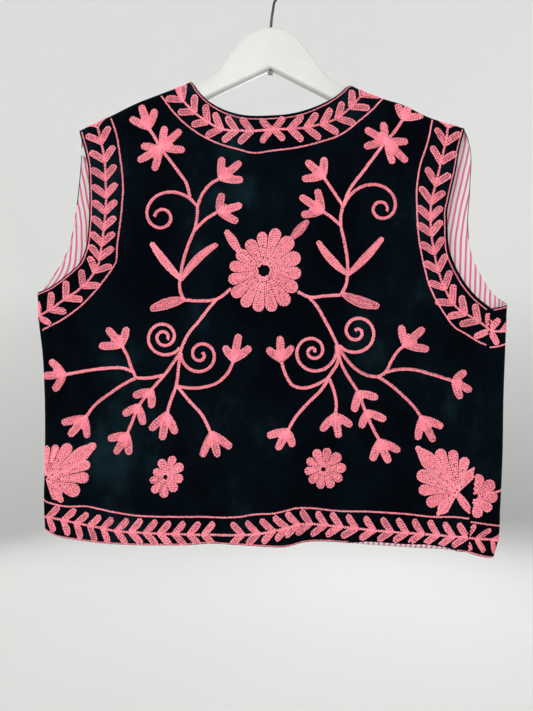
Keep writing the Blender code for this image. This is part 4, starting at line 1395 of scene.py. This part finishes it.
def place_on_hanger(item):
    """Set an object, made about the crown's top, at its place and tilt."""
    item.location = (0.0, 0.0, CROWN_Z * MM)
    item.rotation_euler = (0.0, HANGER_TILT, 0.0)


def add_hanger(material):
    """The painted board, from rings round it all along."""
    end_x = ARM_END_X - ARM_END_ROUND
    turns = np.radians(np.arange(END_STEP, 90 + 1, END_STEP))
    half = np.concatenate([
        np.linspace(0, ARM_START_X, BOARD_CELLS + 1),
        np.linspace(ARM_START_X, end_x, ARM_CELLS + 1)[1:],
        end_x + ARM_END_ROUND * np.sin(turns),
    ])
    points = np.array([board_section(x) for x in (*-half[:0:-1], *half)])
    rings, count = points.shape[:2]
    last = rings * count
    caps = [np.arange(count)[None, ::-1], np.arange(last - count, last)[None]]
    faces = [ring_faces(rings, count), *caps]
    board = write_mesh("painted_hanger", points.reshape(-1, 3), faces)
    board.data.materials.append(material)
    place_on_hanger(board)
    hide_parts("hanger")
    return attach(board, "root")


def add_hook(material):
    """The bent wire: shank, swan's neck and hook, with a rounded tip."""
    centre_x = CROWN_Z * math.sin(HANGER_TILT)
    centre_z = -CROWN_Z * math.cos(HANGER_TILT) + WIRE_RADIUS - HOOK_RADIUS
    arc = (centre_x, centre_z) + polar(HOOK_RADIUS, HOOK_TURNS)
    bend = along((*HOOK_STEM, arc[0], arc[BEND_JOINT]), np.linspace(0, 1, BEND_PLACES))
    shank_end = -(BOARD_OUTLINE[0][2] + NUT_HEIGHT + SHANK_TAIL)
    route = [(0.0, shank_end), *bend, *arc[BEND_JOINT + 1:]]
    curve = bpy.data.curves.new("wire_hook", "CURVE")
    curve.dimensions = "3D"
    curve.bevel_depth = WIRE_RADIUS * MM
    curve.bevel_resolution = WIRE_SIDES
    curve.use_fill_caps = True
    spline = curve.splines.new("POLY")
    spline.points.add(len(route) - 1)
    for point, (x, z) in zip(spline.points, route):
        point.co = (x * MM, 0.0, z * MM, 1.0)
    for point, radius in zip(spline.points[-2:], TIP_RADII):
        point.radius = radius
    curve.materials.append(material)
    hook = add_object("wire_hook", curve)
    place_on_hanger(hook)
    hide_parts("hanger_hook")
    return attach(hook, "root")


def add_nut(material):
    """The hexagonal nut on the shank, its edges eased."""
    shape = bmesh.new()
    radius = NUT_RADIUS * MM
    bmesh.ops.create_cone(
        shape, cap_ends=True, segments=6, radius1=radius, radius2=radius, depth=NUT_HEIGHT * MM
    )
    bmesh.ops.bevel(
        shape, geom=list(shape.edges), offset=NUT_CHAMFER * MM, segments=2, affect="EDGES"
    )
    mesh = bpy.data.meshes.new("shank_nut")
    top = -(BOARD_OUTLINE[0][2] + NUT_RADIUS / 2 + SEAT_GAP)
    bmesh.ops.translate(shape, verts=shape.verts, vec=(0, 0, (top - NUT_HEIGHT / 2) * MM))
    shape.to_mesh(mesh)
    shape.free()
    mesh.materials.append(material)
    nut = add_object("shank_nut", mesh)
    place_on_hanger(nut)
    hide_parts("hook_nut")
    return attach(nut, "root")


# ---------------------------------------------------------------- materials

# Shades from dark to light, each at its place on the value that they follow, and tints
# The velvet's light end is painted sheen: the lighter teal of the nap catching the light.
VELVET_SHADES_AND_PAINTED_SHEEN = (
    (0.40, (0.0002, 0.0008, 0.0018)), (0.54, (0.0006, 0.0023, 0.0039)),
    (0.70, (0.0040, 0.0130, 0.0175)),
)
VELVET_SHEEN = (0.16, 0.40, 0.48, 1.0)
YARN_SHADES = (
    (0.24, (0.56, 0.122, 0.170)), (0.49, (0.90, 0.216, 0.280)), (0.74, (0.99, 0.308, 0.378)),
)
YARN_SHEEN = (1.0, 0.75, 0.78, 1.0)
PAINT_SHADES = ((0.30, (0.42, 0.425, 0.405)), (0.75, (0.475, 0.475, 0.455)))
PAPER_SHADES = ((0.05, (0.43, 0.43, 0.42)), (0.95, (0.79, 0.79, 0.775)))
WIRE_GREYS = (0.04, 0.11)
NUT_GREYS = (0.22, 0.40)
# The cotton's white is painted grey: painted shade, as inside the armholes and along the hem.
COTTON_WHITE_WITH_PAINTED_SHADE = (0.49, 0.48, 0.475)
# Colours at places across one repeat of the lining's stripes
STRIPES = (
    (0.0, COTTON_WHITE_WITH_PAINTED_SHADE), (0.28, COTTON_WHITE_WITH_PAINTED_SHADE), (0.38, (0.49, 0.082, 0.165)),
    (0.68, (0.51, 0.092, 0.178)), (0.78, COTTON_WHITE_WITH_PAINTED_SHADE),
)
STRIPE_REPEAT = 0.006
STRIPE_WANDER = 0.0055
STRIPE_RAGGEDNESS = 0.07
THREADS = 620
THREAD_WAVER = 0.6
# How far a stitch's tone moves its yarn's lightness, and the lightness at none
TONE_SHARE = 0.34
TONE_MIDDLE = 0.5
EVEN = (1, 1, 1)


def grey(level):
    """A colour of equal parts."""
    return (level,) * 3


class Look:
    """A material and its shader, with constants set on it; noise scales are per metre."""

    def __init__(self, name, roughness, **constants):
        self.material = bpy.data.materials.new(name)
        self.material.use_nodes = True
        self.tree = self.material.node_tree
        self.shader = self.tree.nodes["Principled BSDF"]
        self.shader.inputs["Roughness"].default_value = roughness
        for key, value in constants.items():
            self.shader.inputs[key.replace("_", " ")].default_value = value

    def node(self, kind, output, inputs=None, **settings):
        """One output of a new shader node; its inputs are values, or outputs of others."""
        item = self.tree.nodes.new(kind)
        for name, value in settings.items():
            setattr(item, name, value)
        for key, value in (inputs or {}).items():
            if isinstance(value, bpy.types.NodeSocket):
                self.tree.links.new(value, item.inputs[key])
            else:
                item.inputs[key].default_value = value
        return item.outputs[output]

    def noise(self, scale, detail=3, roughness=0.55, stretch=EVEN):
        """Soft noise that keeps its place on the object."""
        place = self.node("ShaderNodeTexCoord", "Object")
        place = self.node("ShaderNodeMapping", "Vector", {"Vector": place, "Scale": stretch})
        inputs = {"Vector": place, "Scale": scale, "Detail": detail, "Roughness": roughness}
        return self.node("ShaderNodeTexNoise", "Fac", inputs)

    def mix(self, factor, a, b):
        """a and b weighed by a factor, as plain values."""
        inputs = {"Factor": factor, "A": a, "B": b}
        return self.node("ShaderNodeMix", "Result", inputs, data_type="FLOAT")

    def maths(self, operation, a, b=0.0, *rest):
        """The outcome of one operation on values or outputs."""
        inputs = dict(enumerate((a, b, *rest)))
        return self.node("ShaderNodeMath", 0, inputs, operation=operation)

    def attribute(self, name, output):
        return self.node("ShaderNodeAttribute", output, attribute_name=name)

    def ramp(self, socket, factor, *levels):
        """Lead a factor through (position, colour) pairs to one of the shader's sockets."""
        colour = self.node("ShaderNodeValToRGB", "Color", {"Fac": factor})
        elements = colour.node.color_ramp.elements
        while len(elements) < len(levels):
            elements.new(1.0)
        for element, (position, level) in zip(elements, levels):
            element.position = position
            element.color = (*level, 1.0)
        self.tree.links.new(colour, self.shader.inputs[socket])

    def bumps(self, *heights):
        """Bumps laid over each other, as (height, strength, distance in metres)."""
        below = {}
        for height, strength, distance in heights:
            inputs = {"Height": height, "Strength": strength, "Distance": distance, **below}
            below = {"Normal": self.node("ShaderNodeBump", "Normal", inputs)}
        self.tree.links.new(below["Normal"], self.shader.inputs["Normal"])


def velvet_look():
    """Near-black teal pile with painted sheen: lighter teal clouds where the nap is brushed."""
    look = Look(
        "velvet_pile", 0.9, Sheen_Weight=0.015, Sheen_Roughness=0.4,
        Sheen_Tint=VELVET_SHEEN, Specular_IOR_Level=0.02,
    )
    # Painted sheen: noise clouds and streaks lighten the velvet's colour towards teal.
    sheen_clouds = look.noise(9, 3, 0.5, (1, 1, 0.7))
    sheen_streaks = look.noise(34, 4, 0.6, (1, 1, 0.6))
    look.ramp("Base Color", look.mix(0.35, sheen_clouds, sheen_streaks), *VELVET_SHADES_AND_PAINTED_SHEEN)
    look.bumps((look.noise(1500, 2), 0.5, 0.0003), (look.noise(260), 0.35, 0.0006))
    return look.material


def yarn_look():
    """Pink wool: each stitch a little lighter or darker, with fine fibres."""
    look = Look(
        "pink_yarn", 0.62, Sheen_Weight=0.3, Sheen_Roughness=0.5,
        Sheen_Tint=YARN_SHEEN, Specular_IOR_Level=0.3,
    )
    tone = look.attribute("tone", "Fac")
    worn = look.noise(26)
    fibre = look.noise(1700, 3, 0.7)
    level = look.maths("MULTIPLY_ADD", tone, TONE_SHARE, TONE_MIDDLE)
    level = look.mix(0.30, level, worn)
    look.ramp("Base Color", look.mix(0.25, level, fibre), *YARN_SHADES)
    look.bumps((fibre, 0.5, 0.0002))
    return look.material


def lining_look():
    """White cotton with narrow raspberry stripes along the cloth, plain woven."""
    look = Look("striped_cotton", 0.8, Specular_IOR_Level=0.25)
    place = look.attribute("cloth", "Vector")
    across = look.node("ShaderNodeSeparateXYZ", "X", {"Vector": place})
    wander = look.maths("MULTIPLY", look.noise(16, 2), STRIPE_WANDER)
    across = look.maths("ADD", across, wander)
    repeat = look.maths("FRACT", look.maths("DIVIDE", across, STRIPE_REPEAT))
    ragged = look.maths("MULTIPLY", look.noise(900, 2), STRIPE_RAGGEDNESS)
    # The white between the stripes is greyed as painted shade.
    look.ramp("Base Color", look.maths("ADD", repeat, ragged), *STRIPES)
    threads = {"Vector": place, "Scale": THREADS, "Distortion": THREAD_WAVER}
    warp, weft = (
        look.node("ShaderNodeTexWave", "Fac", threads, bands_direction=axis) for axis in "XY"
    )
    weave = look.maths("MULTIPLY", warp, weft)
    look.bumps((weave, 0.35, 0.0002), (look.noise(70, 3, 0.6, (1, 1, 0.5)), 0.6, 0.0016))
    return look.material


def paint_look():
    """Satin white paint over wood, its grain just showing."""
    look = Look(
        "white_paint", 0.42, Coat_Weight=0.25, Coat_Roughness=0.25, Specular_IOR_Level=0.45
    )
    soft = look.noise(18, 4)
    grain = look.noise(120, 4, 0.6, (0.06, 1, 1))
    look.ramp("Base Color", soft, *PAINT_SHADES)
    look.ramp("Roughness", grain, (0.3, grey(0.36)), (0.8, grey(0.52)))
    look.bumps((grain, 0.25, 0.0004), (soft, 0.2, 0.0008))
    return look.material


def steel_look(name, dark, light):
    """Steel with drawn streaks between two levels of grey, for the wire and its nut."""
    look = Look(name, 0.34, Metallic=1.0)
    drawn = look.noise(420, 3, 0.6, (1, 1, 0.1))
    look.ramp("Base Color", drawn, (0.3, grey(dark)), (0.8, grey(light)))
    look.ramp("Roughness", drawn, (0.3, grey(0.28)), (0.8, grey(0.46)))
    look.bumps((drawn, 0.15, 0.0001))
    return look.material


# ---------------------------------------------------------------- studio

FLOOR_Z = -1250.0
COVE_RADIUS = 3000.0
COVE_BEND = 900.0
COVE_HEIGHT = 3600.0
COVE_SIDES = 96
COVE_STEP = 6
COVE_FADE = 1.2
# Lights: name, place and side in metres, power in watts
LIGHTS = (
    ("key", (-0.7, -1.9, 0.1), 1.2, 38),
    ("fill", (1.3, -1.7, -0.2), 1.4, 15),
    ("front_key", (0.7, 1.9, 0.1), 1.2, 38),
    ("front_fill", (-1.3, 1.7, -0.2), 1.4, 15),
)
# Where the lights point, in metres
LIT_PLACE = (0.0, 0.0, -0.4)
SKY = (0.95, 0.97, 1.0, 1.0)
SKY_STRENGTH = 0.92


def add_cove():
    """Pale floor that bends up into a round wall, open above."""
    bend = np.radians(np.arange(0, 91, COVE_STEP))
    radius = COVE_RADIUS - COVE_BEND + COVE_BEND * np.sin(bend)
    radius = np.concatenate([[0.0], radius, [COVE_RADIUS]])
    height = np.concatenate([[0.0], COVE_BEND * (1 - np.cos(bend)), [COVE_HEIGHT]])
    around = polar(1.0, 2 * math.pi * np.arange(COVE_SIDES) / COVE_SIDES)
    points = np.empty((len(radius), COVE_SIDES, 3))
    points[..., :2] = radius[:, None, None] * around
    points[..., 2] = FLOOR_Z + height[:, None]
    faces = ring_faces(len(radius), COVE_SIDES)
    cove = write_mesh("studio_cove", points.reshape(-1, 3), [faces])
    look = Look("studio_paper", 0.9)
    place = look.node("ShaderNodeTexCoord", "Object")
    up = look.node("ShaderNodeSeparateXYZ", "Z", {"Vector": place})
    floor = FLOOR_Z * MM
    span = {"Value": up, "From Min": floor, "From Max": floor + COVE_FADE}
    rise = look.node("ShaderNodeMapRange", "Result", span)
    level = look.mix(0.1, rise, look.noise(0.6, 2))
    look.ramp("Base Color", level, *PAPER_SHADES)
    cove.data.materials.append(look.material)


def add_light(name, place, size, power):
    """A soft square light that faces the vest."""
    data = bpy.data.lights.new(name, "AREA")
    data.size = size
    data.energy = power
    lamp = add_object(name, data)
    lamp.location = place
    x, y, z = np.subtract(place, LIT_PLACE)
    turn = math.atan2(y, x) + math.pi / 2
    lamp.rotation_euler = (math.atan2(math.hypot(x, y), z), 0.0, turn)


def add_studio():
    add_cove()
    for light in LIGHTS:
        add_light(*light)
    world = bpy.data.worlds.new("studio")
    world.use_nodes = True
    sky = world.node_tree.nodes["Background"].inputs
    sky["Color"].default_value = SKY
    sky["Strength"].default_value = SKY_STRENGTH
    bpy.context.scene.world = world
    bpy.context.scene.view_settings.view_transform = "Standard"


def add_camera():
    """The photograph's view, level with the middle of the vest and square to its back."""
    data = bpy.data.cameras.new("camera")
    data.sensor_fit = "AUTO"
    data.sensor_width = SENSOR
    data.lens = SENSOR * EYE_DISTANCE / (PHOTO_HEIGHT * PIXEL)
    camera = add_object("camera", data)
    camera.location = (EYE_X * MM, -EYE_DISTANCE * MM, EYE_Z * MM)
    camera.rotation_euler = (math.pi / 2, 0.0, 0.0)
    bpy.context.scene.camera = camera


def main():
    add_camera()
    add_studio()
    velvet = velvet_look()
    yarn = yarn_look()
    cotton = lining_look()
    add_hanger(paint_look())
    add_hook(steel_look("dark_wire", *WIRE_GREYS))
    add_nut(steel_look("plated_nut", *NUT_GREYS))
    back = cloth_wall(
        "velvet_back", BACK, BOTH, (0.0, CLOTH), velvet, cotton,
        lifts=(VELVET_HEM_LIFT, LINING_HEM_LIFT),
    )
    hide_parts("back")
    for hand, name in ((LEFT, "left"), (RIGHT, "right")):
        drift = STRIPE_DRIFT[hand]
        front = cloth_wall(
            "velvet_front_" + name, FRONT, hand, (0.0, VELVET), velvet, cotton, lip=True,
            drift=drift, roll=ROLL[hand],
        )
        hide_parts("front_" + name)
        lining = cloth_wall(
            "cotton_front_" + name, FRONT, hand, (VELVET + LINING_GAP, CLOTH), cotton,
            edge_inset=LINING_INSET, drift=drift,
        )
        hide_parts("lining_front_" + name)
    for seed, work in enumerate((back_vines(), back_flowers(), back_borders())):
        sew(work, yarn, seed, within_back)
    for hand, seed in FRONT_SEEDS.items():
        sew(front_design(hand), yarn, seed, within_front)


main()
